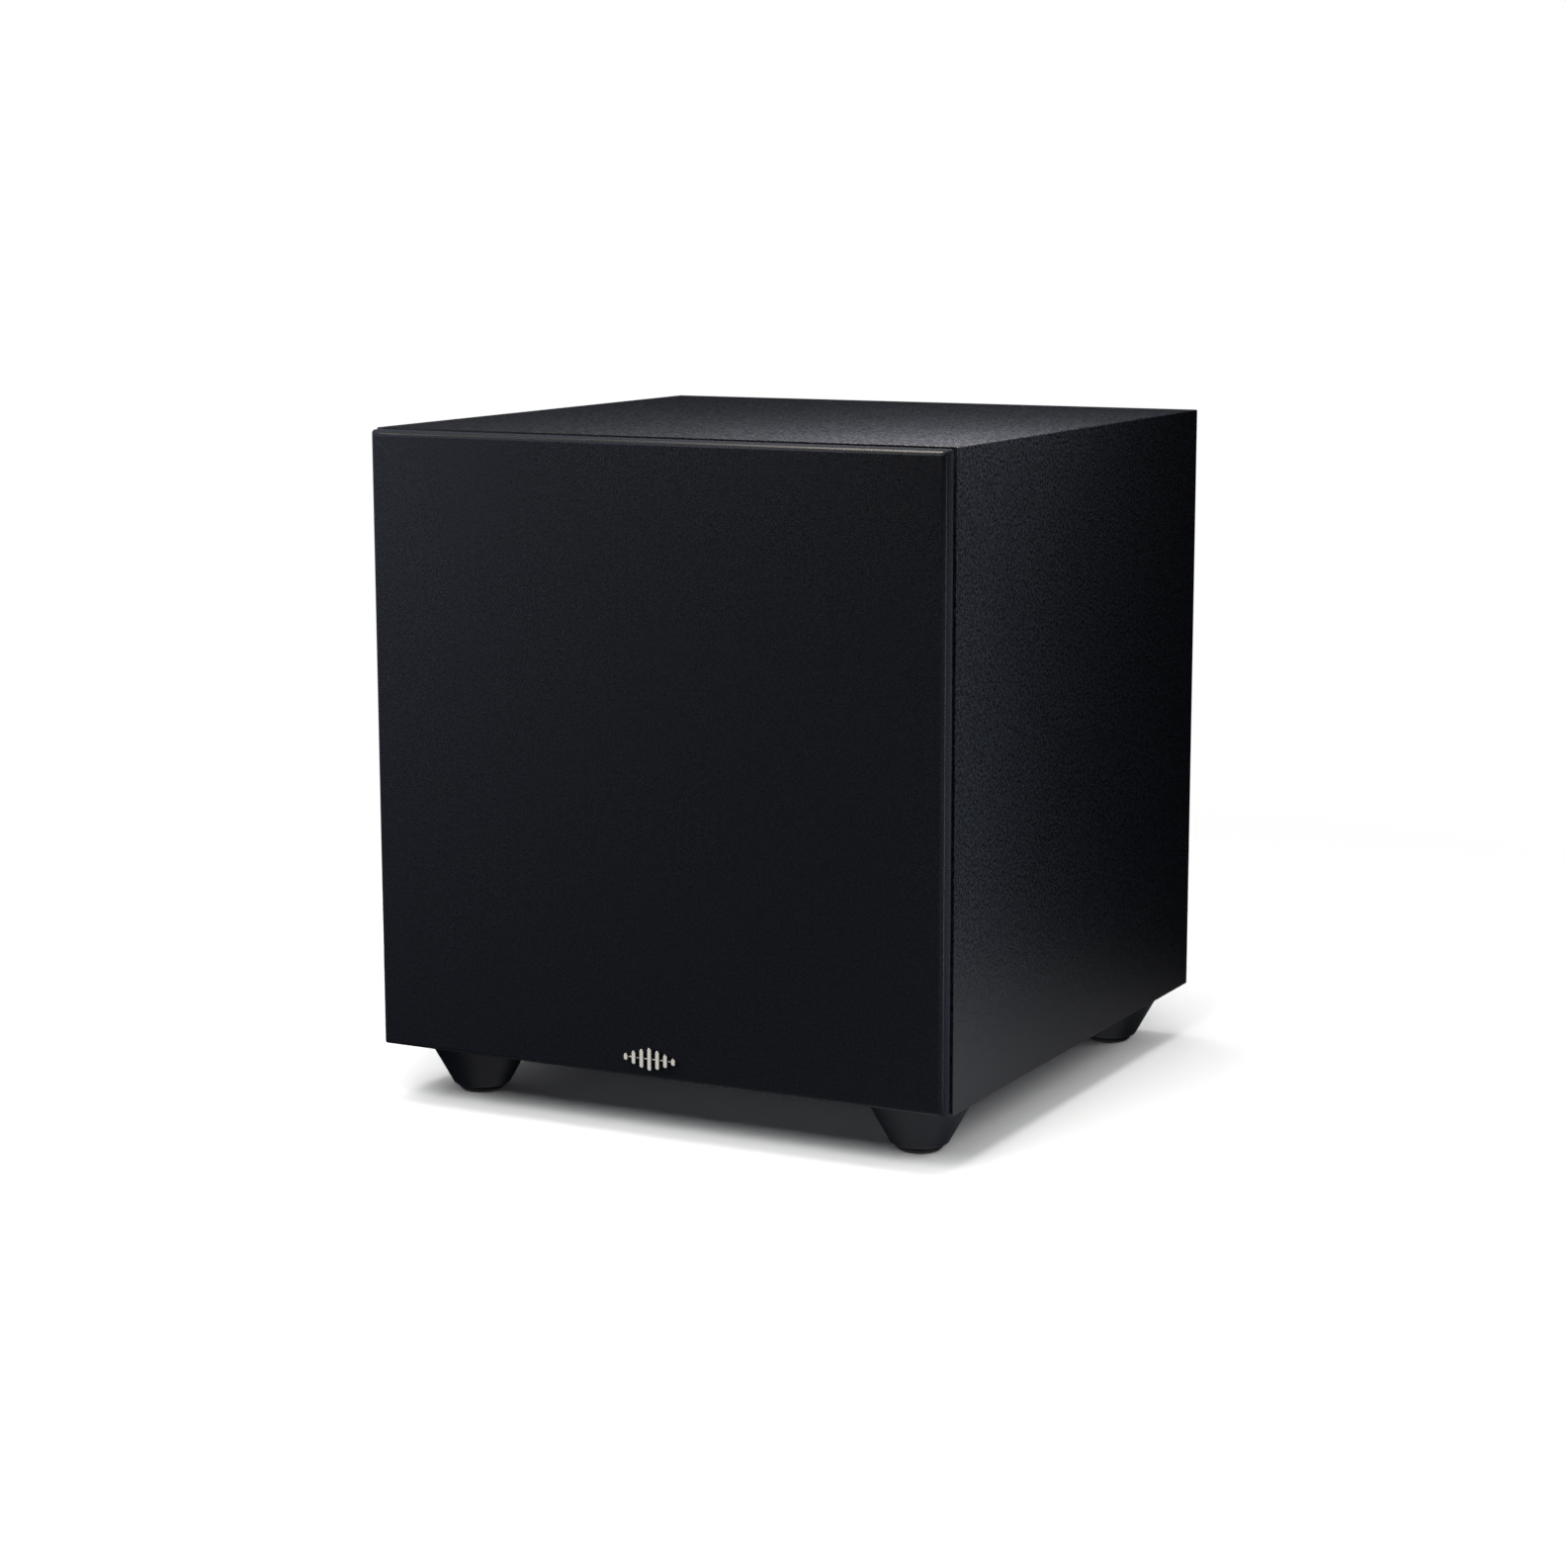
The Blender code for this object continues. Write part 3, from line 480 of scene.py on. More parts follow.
def soften(profile: Sequence[Point], radius: float, closed: bool = True, steps: int = 4) -> list[Point]:
    """Rounds every corner of a profile, with less where its neighbours are near.

    Args:
        profile: The corners in order.
        radius: The rounding's radius.
        closed: Whether the last corner joins the first.
        steps: Straight pieces in each rounding.

    Returns:
        The rounded profile.
    """
    made: list[Point] = []
    count = len(profile)
    for i, corner in enumerate(profile):
        if not closed and i in (0, count - 1):
            made.append(corner)
            continue
        here = Vector(corner)
        before, after = Vector(profile[i - 1]) - here, Vector(profile[(i + 1) % count]) - here
        half = before.angle(after) / 2
        if half > math.radians(86):
            made.append(corner)
            continue
        reach = min(radius / math.tan(half), 0.45 * before.length, 0.45 * after.length)
        first, last = here + before.normalized() * reach, here + after.normalized() * reach
        for k in range(steps + 1):
            t = k / steps
            place = first * (1 - t) ** 2 + here * (2 * t * (1 - t)) + last * t**2
            made.append((place.x, place.y))
    return made


def facing(direction: str, origin: Sequence[float]) -> Matrix:
    """The place of a piece drawn in its own plane.

    Args:
        direction: front, rear, up or down: where the piece's own Z points. Seen from there, its X runs to
            the right.
        origin: Where its own origin goes.

    Returns:
        The matrix from the piece's own space to the row frame.
    """
    turns = {
        "front": Matrix.Rotation(math.radians(90), 4, "X"),
        "rear": Matrix.Rotation(math.pi, 4, "Z") @ Matrix.Rotation(math.radians(90), 4, "X"),
        "up": Matrix.Identity(4),
        "down": Matrix.Rotation(math.pi, 4, "X"),
    }
    return Matrix.Translation(origin) @ turns[direction]


def new_object(name: str, shape: bmesh.types.BMesh) -> bpy.types.Object:
    """Makes an object of a mesh being built.

    Args:
        name: The object's name.
        shape: The mesh, which is freed.

    Returns:
        The object.
    """
    mesh = bpy.data.meshes.new(name)
    shape.to_mesh(mesh)
    shape.free()
    made = bpy.data.objects.new(name, mesh)
    bpy.context.scene.collection.objects.link(made)
    return made


def settle(piece: bpy.types.Object, place: Matrix, crease: float = 32.0) -> bpy.types.Object:
    """Applies a piece's modifiers and then its place, so that its object sits at the origin.

    Args:
        piece: The piece, made at its own origin.
        place: Where it goes.
        crease: Edges sharper than this many degrees stay sharp.

    Returns:
        The same piece.
    """
    graph = bpy.context.evaluated_depsgraph_get()
    mesh = bpy.data.meshes.new_from_object(piece.evaluated_get(graph))
    piece.modifiers.clear()
    piece.data = mesh
    shape = bmesh.new()
    shape.from_mesh(mesh)
    bmesh.ops.remove_doubles(shape, verts=shape.verts, dist=1e-6)
    bmesh.ops.transform(shape, matrix=place, verts=shape.verts)
    bmesh.ops.recalc_face_normals(shape, faces=shape.faces)
    shape.to_mesh(mesh)
    shape.free()
    mesh.shade_smooth()
    mesh.set_sharp_from_angle(angle=math.radians(crease))
    even = piece.modifiers.new("even_shading", "WEIGHTED_NORMAL")
    even.keep_sharp = True
    return piece


def turned(
    name: str,
    profile: Sequence[Point],
    place: Matrix,
    steps: int = 96,
    closed: bool = True,
    crease: float = 32.0,
) -> bpy.types.Object:
    """A turned piece: a profile of (radius, height) swept round its own Z axis.

    Args:
        name: The piece's name.
        profile: Its outline in millimetres. It is a loop, or it is open and its ends lie on the axis.
        place: Where it goes.
        steps: How many facets it has round.
        closed: Whether the profile is a loop.
        crease: Edges sharper than this many degrees stay sharp.

    Returns:
        The piece.
    """
    shape = bmesh.new()
    points = [shape.verts.new((r * MM, 0, h * MM)) for r, h in profile]
    for a, b in zip(points, points[1:] + (points[:1] if closed else [])):
        shape.edges.new((a, b))
    piece = new_object(name, shape)
    screw = piece.modifiers.new("turn", "SCREW")
    screw.steps = screw.render_steps = steps
    screw.use_merge_vertices = True
    screw.merge_threshold = 1e-6
    return settle(piece, place, crease)


def slab(
    name: str,
    outline: Sequence[Point],
    low: float,
    high: float,
    place: Matrix,
    edge: float = 0.4,
    holes: Sequence[Sequence[Point]] = (),
    segments: int = 2,
) -> bpy.types.Object:
    """A flat piece cut to an outline, with holes and eased edges.

    Args:
        name: The piece's name.
        outline: Its outer edge in millimetres.
        low: Height of its back, in millimetres.
        high: Height of its face, in millimetres.
        place: Where it goes.
        edge: Width of the easing on its edges, in millimetres.
        holes: Outlines of its holes.
        segments: How many facets the easing has.

    Returns:
        The piece.
    """
    shape = bmesh.new()
    rims = []
    for loop in (outline, *holes):
        points = [shape.verts.new((x * MM, y * MM, low * MM)) for x, y in loop]
        rims += [shape.edges.new(pair) for pair in zip(points, points[1:] + points[:1])]
    bmesh.ops.triangle_fill(shape, use_beauty=True, use_dissolve=False, edges=rims)
    bmesh.ops.dissolve_limit(shape, angle_limit=0.01, verts=shape.verts, edges=shape.edges)
    raised = bmesh.ops.extrude_face_region(shape, geom=list(shape.faces))["geom"]
    tops = [v for v in raised if isinstance(v, bmesh.types.BMVert)]
    bmesh.ops.translate(shape, vec=(0, 0, (high - low) * MM), verts=tops)
    bmesh.ops.recalc_face_normals(shape, faces=shape.faces)
    piece = new_object(name, shape)
    if edge:
        ease = piece.modifiers.new("ease", "BEVEL")
        ease.width = edge * MM
        ease.segments = segments
        ease.limit_method = "ANGLE"
        ease.angle_limit = math.radians(35)
    return settle(piece, place, 50)


def polar(
    name: str, rings: Sequence[tuple[Radius, float]], places: Sequence[Matrix], steps: int = 24
) -> bpy.types.Object:
    """One or more copies of a piece that isn't quite round, such as a hex socket head or a fluted knob.

    Args:
        name: The piece's name.
        rings: A radius, or a function from angle to radius, and a height for each ring, in millimetres. The
            first and last rings are closed to the axis.
        places: Where each copy goes.
        steps: How many points each ring has.

    Returns:
        The piece.
    """
    shape = bmesh.new()
    for place in places:
        loops = []
        for radius, height in rings:
            loop = []
            for i in range(steps):
                angle = math.tau * i / steps
                reach = (radius(angle) if callable(radius) else radius) * MM
                spot = Vector((reach * math.cos(angle), reach * math.sin(angle), height * MM))
                loop.append(shape.verts.new(place @ spot))
            loops.append(loop)
        for lower, upper in zip(loops, loops[1:]):
            for i in range(steps):
                j = (i + 1) % steps
                shape.faces.new((lower[i], lower[j], upper[j], upper[i]))
        shape.faces.new(loops[0][::-1])
        shape.faces.new(loops[-1])
    return settle(new_object(name, shape), Matrix.Identity(4))


def hexagon(across: float) -> Callable[[float], float]:
    """The radius of a hexagon of that width across its flats, by angle."""
    flat = math.radians(60)
    return lambda angle: across / 2 / math.cos((angle % flat) - flat / 2)


def fluted(radius: float, depth: float, count: int) -> Callable[[float], float]:
    """The radius of a rim with that many shallow flutes, by angle."""
    return lambda angle: radius - depth * (0.5 - 0.5 * math.cos(count * angle)) ** 2


def socket_screws(name: str, radius: float, height: float, places: Sequence[Matrix]) -> bpy.types.Object:
    """Button-head screws with hex sockets, as one piece.

    Args:
        name: The piece's name.
        radius: Radius of a head, in millimetres.
        height: Height of a head, in millimetres.
        places: Where each head's underside goes.

    Returns:
        The piece.
    """
    key = hexagon(radius * 0.9)
    rings = [
        (radius, 0.0), (radius, height * 0.25), (radius * 0.95, height * 0.6),
        (radius * 0.82, height * 0.88), (radius * 0.64, height),
        (key, height), (key, height * 0.3), (radius * 0.1, height * 0.22),
    ]
    return polar(name, rings, places, steps=24)


def cut(piece: bpy.types.Object, cutters: Sequence[bpy.types.Object]) -> None:
    """Cuts pieces out of another and removes the cutters.

    Args:
        piece: The piece that is cut.
        cutters: What is cut out of it.
    """
    for cutter in cutters:
        made = piece.modifiers.new("cut", "BOOLEAN")
        made.operation = "DIFFERENCE"
        made.solver = "EXACT"
        made.object = cutter
    settle(piece, Matrix.Identity(4))
    for cutter in cutters:
        bpy.data.objects.remove(cutter, do_unlink=True)


def middle(node: str) -> Vector:
    """The middle of a CAD node."""
    low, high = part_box(node)
    return (low + high) / 2


# ----------------------------------------------------------------------------------------------------
# The workshop, which dresses pieces and remembers the frame
# ----------------------------------------------------------------------------------------------------


@dataclass
class Workshop:
    """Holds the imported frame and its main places, and finishes each piece.

    Attributes:
        materials: Every finish's material.
    """

    frame: dict[str, object]
    materials: dict[str, bpy.types.Material]

    @property
    def low(self) -> Vector:
        """The cabinet's lowest corner."""
        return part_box("cabinet_left")[0]

    @property
    def high(self) -> Vector:
        """The cabinet's highest corner."""
        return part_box("cabinet_right")[1]

    @property
    def front(self) -> Matrix:
        """The place at the middle of the cabinet's front, with its Z forwards."""
        return facing("front", (0, self.low.y, (self.low.z + self.high.z) / 2))

    @property
    def back(self) -> Matrix:
        """The place at the middle of the cabinet's back, with its Z backwards."""
        return facing("rear", (0, self.high.y, (self.low.z + self.high.z) / 2))

    def dress(
        self, piece: bpy.types.Object, finish: str, slot: str, body: str = "cabinet", *nodes: str
    ) -> None:
        """Gives a piece its finish and its place in the record, and reports it.

        Args:
            piece: The finished mesh.
            finish: Its finish's name.
            slot: The record's material slot. Not used.
            body: The body that it rides on.
            *nodes: The CAD nodes that it stands for.
        """
        piece.data.materials.clear()
        piece.data.materials.append(self.materials[finish])
        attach(piece, body)
        if nodes:
            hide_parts(*nodes)
        LOG.info("%s rides on %s and stands for %s", piece.name, body, ", ".join(nodes) or "nothing")

    def coat(self, finish: str, *nodes: str) -> None:
        """Gives CAD nodes that stay a better finish.

        Args:
            finish: The finish's name.
            *nodes: The nodes.
        """
        for name in nodes:
            slots = self.frame["nodes"][name].data.materials
            slots.clear()
            slots.append(self.materials[finish])
            LOG.info("%s keeps its shape and gets the finish %s", name, finish)


# ----------------------------------------------------------------------------------------------------
# Sub-assemblies
# ----------------------------------------------------------------------------------------------------


@dataclass
class Cabinet:
    """The box: a vinyl-wrapped sleeve, its front baffle and its back, and the boards and wool inside."""

    shop: Workshop
    board_mm: float = 18.0
    corner_mm: float = 0.9
    edge_mm: float = 0.5
    gap_mm: float = 0.2
    recess_r_mm: float = 155.0
    peg_hole_r_mm: float = 6.7
    port_hole_r_mm: float = 54.4

    def build(self) -> None:
        """Makes every piece of the cabinet."""
        self.sleeve()
        self.boards()
        self.wool()
        self.shop.coat("board", "window_brace")
        self.shop.coat("baffle", "inner_baffle")

    def size(self) -> tuple[float, float, float]:
        """Width, depth and height in millimetres."""
        span = (self.shop.high - self.shop.low) / MM
        return span.x, span.y, span.z

    def sleeve(self) -> None:
        """The four wrapped sides, folded from one board, with the port's hole in the bottom."""
        width, depth, height = self.size()
        wall = 2 * self.board_mm
        outline = rounded(width, height, self.corner_mm, 4)
        inside = rounded(width - wall, height - wall, 0.3, 1)
        sleeve = slab("cabinet_sleeve", outline, -depth, 0, self.shop.front, self.edge_mm, [inside])
        port = middle("port_tube")
        hole, place = circle(self.port_hole_r_mm), facing("up", (port.x, port.y, self.shop.low.z))
        cutter = slab("port_hole", hole, -5, self.board_mm + 5, place, 0)
        cut(sleeve, [cutter])
        panels = ("cabinet_top", "cabinet_bottom", "cabinet_left", "cabinet_right")
        self.shop.dress(sleeve, "wrap", "cabinet_wrap", "cabinet", *panels)
        self.line_inside(sleeve)

    def line_inside(self, sleeve: bpy.types.Object) -> None:
        """Leaves the sleeve's inner faces as bare board.

        Args:
            sleeve: The sleeve, already wrapped.
        """
        sleeve.data.materials.append(self.shop.materials["board"])
        reach = (self.board_mm - 1) * MM
        low = self.shop.low + Vector((reach, -1, reach))
        high = self.shop.high - Vector((reach, -1, reach))
        for face in sleeve.data.polygons:
            c = face.center
            if low.x < c.x < high.x and low.z < c.z < high.z and abs(face.normal.y) < 0.5:
                face.material_index = 1

    def boards(self) -> None:
        """The front baffle, with the driver's recess and the peg holes, and the back with its cut-out."""
        width, _, height = self.size()
        inner = 2 * (self.board_mm + self.gap_mm)
        outline = rounded(width - inner, height - inner, 0.4, 1)
        front, back = -0.1, 0.1 - self.board_mm
        holes = [circle(self.recess_r_mm, 144)]
        for name in CORNERS:
            away = (middle(f"grille_socket_{name}") - self.shop.front.translation) / MM
            holes.append(circle(self.peg_hole_r_mm, 24, (away.x, away.z)))
        baffle = slab("baffle_face", outline, back, front, self.shop.front, 0.5, holes)
        self.shop.dress(baffle, "baffle", "cabinet_wrap", "cabinet", "front_baffle")
        low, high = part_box("amp_gasket")
        opening = (high - low) / MM
        cut_out = rounded(opening.x - 18, opening.z - 18, 3)
        rear = slab("rear_board", outline, back, front, self.shop.back, 0.5, [cut_out])
        self.shop.dress(rear, "wrap", "cabinet_wrap", "cabinet", "rear_panel")

    def wool(self) -> None:
        """The damping wool: a soft batt that is flat only where it lies on the wall."""
        low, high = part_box("damping_pad")
        centre, span = (low + high) / 2, high - low
        shape = bmesh.new()
        bmesh.ops.create_cube(shape, size=1.0)
        bmesh.ops.subdivide_edges(shape, edges=shape.edges, cuts=7, use_grid_fill=True)
        for vert in shape.verts:
            rim = max(abs(vert.co.y), abs(vert.co.z)) * 2
            puff = 0.72 + 0.2 * (1 - rim**4) + 0.06 * noise.noise(vert.co * 5.1)
            loose = 0.985 - 0.02 * noise.noise(vert.co * 3.7)
            if vert.co.x > -0.49:
                vert.co.x = -0.5 + (vert.co.x + 0.5) * puff
            vert.co.y, vert.co.z = vert.co.y * loose, vert.co.z * loose
            vert.co = Vector((vert.co.x * span.x, vert.co.y * span.y, vert.co.z * span.z)) + centre
        batt = new_object("damping_batt", shape)
        soft = batt.modifiers.new("soft", "SUBSURF")
        soft.levels = soft.render_levels = 2
        settle(batt, Matrix.Identity(4), 180)
        self.shop.dress(batt, "wool", "polyester_wool", "cabinet", "damping_pad")


@dataclass
class Feet:
    """Four satin cones, each on a rubber pad, held by a screw from below."""

    shop: Workshop
    top_r_mm: float = 34.8
    low_r_mm: float = 17.9
    low_mm: float = 4.4
    turn_r_mm: float = 3.2
    names: tuple[str, ...] = ("front_left", "front_right", "rear_left", "rear_right")

    def build(self) -> None:
        """Makes each foot, its pad and its screw."""
        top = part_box("foot_front_left")[1].z / MM
        low, wide = self.low_mm, self.top_r_mm
        outer = soften([(9, low), (self.low_r_mm, low), (wide, top)], self.turn_r_mm, False, 8)
        cone = [(2.6, top), (2.6, 14), (7, 14), (7, low), *outer[:-1], (wide, top - 0.6), (wide - 0.5, top)]
        pad = [(7, 0.9), (7, 4.2), (14.8, 4.2), (14.8, 2.4), (13.0, 0.7), (11.2, 0.0), (7.8, 0.0)]
        for name in self.names:
            spot = middle(f"foot_{name}")
            place = facing("up", (spot.x, spot.y, 0))
            foot = turned(f"cone_foot_{name}", cone, place, crease=28)
            self.shop.dress(foot, "foot", "foot_plastic", "cabinet", f"foot_{name}")
            rubber = turned(f"floor_pad_{name}", soften(pad, 0.7), place, 72)
            self.shop.dress(rubber, "rubber", "black_rubber", "cabinet", f"foot_pad_{name}")
            seat = facing("down", (spot.x, spot.y, 13.8 * MM))
            screw = socket_screws(f"foot_screw_{name}", 5.0, 2.6, [seat])
            self.shop.dress(screw, "oxide", "plated_steel")


@dataclass
class Port:
    """The flared tube that fires at the floor."""

    shop: Workshop
    bore_mm: float = 37.5
    wall_mm: float = 3.0
    flare_mm: float = 12.5
    flange_r_mm: float = 53.7

    def build(self) -> None:
        """Makes the tube, open at both ends, with a quarter-ellipse flare at its mouth."""
        low, high = (corner.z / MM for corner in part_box("port_tube"))
        panel = low + 18
        steps = 12
        flare = []
        for i in range(steps + 1):
            a = math.radians(90 * i / steps)
            flare.append((self.bore_mm + self.flare_mm * (1 - math.sin(a)), low + 18 * (1 - math.cos(a))))
        mouth = arc((self.bore_mm + 12, high - 11.8), 12, 180, 100, 8)
        back = [
            (self.bore_mm + 13, high - 2.3), (self.bore_mm + self.wall_mm, high - 14),
            (self.bore_mm + self.wall_mm, panel - 2), (self.flange_r_mm, panel - 5),
            (self.flange_r_mm, low + 0.5), (self.flange_r_mm - 0.5, low),
        ]
        spot = middle("port_tube")
        tube = turned("port_flare", flare + mouth + back, facing("up", (spot.x, spot.y, 0)), 128)
        self.shop.dress(tube, "port", "port_plastic", "cabinet", "port_tube")


@dataclass
class Grille:
    """The pull-off grille: cloth stretched over a moulded board with four pegs, and a plated badge."""

    shop: Workshop
    roll_mm: float = 3.6
    crisp_deg: float = 28.0
    corner_mm: float = 1.2
    ease_mm: float = 4.2
    cloth_mm: float = 0.5
    hem_mm: float = 14.0
    window_r_mm: float = 165.0
    peg_r_mm: float = 4.0
    bars_mm: tuple[float, ...] = (4.5, 8.5, 12.0, 14.4, 12.0, 8.5, 4.5)
    bar_pitch_mm: float = 5.6

    def build(self) -> None:
        """Makes every piece of the grille, and the sockets that its pegs push into."""
        board = self.board()
        self.cloth(board)
        self.badge()
        for name in CORNERS:
            spot = middle(f"grille_socket_{name}")
            place = facing("front", (spot.x, self.shop.low.y, spot.z))
            ring = [(4.5, 0.9), (4.5, -13.5), (6.4, -13.5), (6.4, 0.3), (8.2, 0.3), (8.2, 0.9)]
            socket = turned(f"peg_socket_{name}", soften(ring, 0.3), place, 48)
            self.shop.dress(socket, "rubber", "black_rubber", "cabinet", f"grille_socket_{name}")

    def board(self) -> bpy.types.Object:
        """The moulded board with its round window, and its pegs.

        Returns:
            The board.
        """
        low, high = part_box("grille_cloth")
        span = (high - low) / MM
        back = (self.shop.low.y - high.y) / MM
        wall = self.cloth_mm + 0.3
        outline = rounded(span.x - 2 * wall, span.z - 2 * wall, self.roll_mm - wall)
        window = [circle(self.window_r_mm, 160)]
        face = back + span.y - wall
        board = slab("grille_board", outline, back, face, self.shop.front, self.ease_mm, window, 5)
        self.shop.dress(board, "moulding", "grille_plastic", "grille", "grille_frame")
        centre = self.shop.front.translation
        side = self.peg_r_mm
        peg = [(0, -12), (2.4, -12), (side, -9.8), (side, back - 1.2), (7.0, back - 0.1), (7.0, 4), (0, 4)]
        for name in CORNERS:
            spot = middle(f"grille_socket_{name}")
            place = facing("front", (spot.x, centre.y, spot.z))
            made = turned(f"grille_peg_{name}", soften(peg, 0.5, False), place, 32, False)
            self.shop.dress(made, "moulding", "grille_plastic", "grille")
        return board

    def cloth(self, board: bpy.types.Object) -> None:
        """The cloth: flat in front, mitred at its corners, hemmed behind the board, with flat coordinates.

        Args:
            board: The board that it is stretched over. Not used.
        """
        low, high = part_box("grille_cloth")
        span = (high - low) / MM
        wide, tall = span.x - 2 * self.roll_mm, span.z - 2 * self.roll_mm
        core = rounded(wide, tall, self.corner_mm, 5)
        path = self.section((self.shop.low.y - high.y) / MM, (self.shop.low.y - low.y) / MM)
        shape = bmesh.new()
        flat = shape.loops.layers.uv.new("flat")
        rings, where, travelled = [], {}, path[0][0]
        for i, (out, height) in enumerate(path):
            travelled += math.dist(path[i - 1], path[i]) if i else 0.0
            ring = []
            for x, y in core:
                right, up = math.copysign(1, x), math.copysign(1, y)
                spot = Vector((x + right * out, y + up * out, height)) * MM
                ring.append(shape.verts.new(self.shop.front @ spot))
                where[ring[-1]] = (x + right * travelled) * MM, (y + up * travelled) * MM
            rings.append(ring)
        shape.faces.new(rings[0])
        for inner, outer in zip(rings, rings[1:]):
            for i in range(len(core)):
                j = (i + 1) % len(core)
                shape.faces.new((inner[i], outer[i], outer[j], inner[j]))
        for made in shape.faces:
            for loop in made.loops:
                loop[flat].uv = where[loop.vert]
        cloth = new_object("grille_fabric", shape)
        cloth.data.shade_smooth()
        cloth.data.set_sharp_from_angle(angle=math.radians(self.crisp_deg - 4))
        thick = cloth.modifiers.new("thickness", "SOLIDIFY")
        thick.thickness = self.cloth_mm * MM
        thick.offset = -1
        self.shop.dress(cloth, "cloth", "grille_fabric", "grille", "grille_cloth")

    def section(self, back: float, face: float) -> list[Point]:
        """The cloth's path over the board's edge, as distances out from its face's rim and heights.

        Args:
            back: Height of its hem.
            face: Height of its face.

        Returns:
            The path from inside the face's rim to the hem's end.
        """
        roll, start = self.roll_mm, self.crisp_deg
        radius = roll / (1 - math.sin(math.radians(start)))
        hub = (roll - radius, face - radius * math.cos(math.radians(start)))
        turn = arc(hub, radius, 90 - start, 0, 8)
        under = [(roll, back + 1.2), (roll - 0.4, back + 0.3), (roll - 1.2, back)]
        return [(-self.hem_mm, face), *turn, *under, (roll - 1.2 - self.hem_mm, back)]

    def badge(self) -> None:
        """A plain sound-level mark: bars of different heights on one thin level bar."""
        low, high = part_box("badge")
        centre = (low + high) / 2
        place = facing("front", (centre.x, high.y, centre.z))
        rise = (high.y - low.y) / MM
        first = -(len(self.bars_mm) - 1) / 2 * self.bar_pitch_mm
        spine = slab("badge_spine", rounded(-2 * first, 1.0, 0.45, 3), -0.1, rise * 0.45, place, 0.3)
        self.shop.dress(spine, "chrome", "badge_chrome", "grille", "badge")
        for number, height in enumerate(self.bars_mm):
            outline = rounded(3.0, height, 1.48, 8, (first + number * self.bar_pitch_mm, 0))
            bar = slab(f"badge_bar_{number + 1}", outline, -0.1, rise, place, 1.1, (), 5)
            self.shop.dress(bar, "chrome", "badge_chrome", "grille")


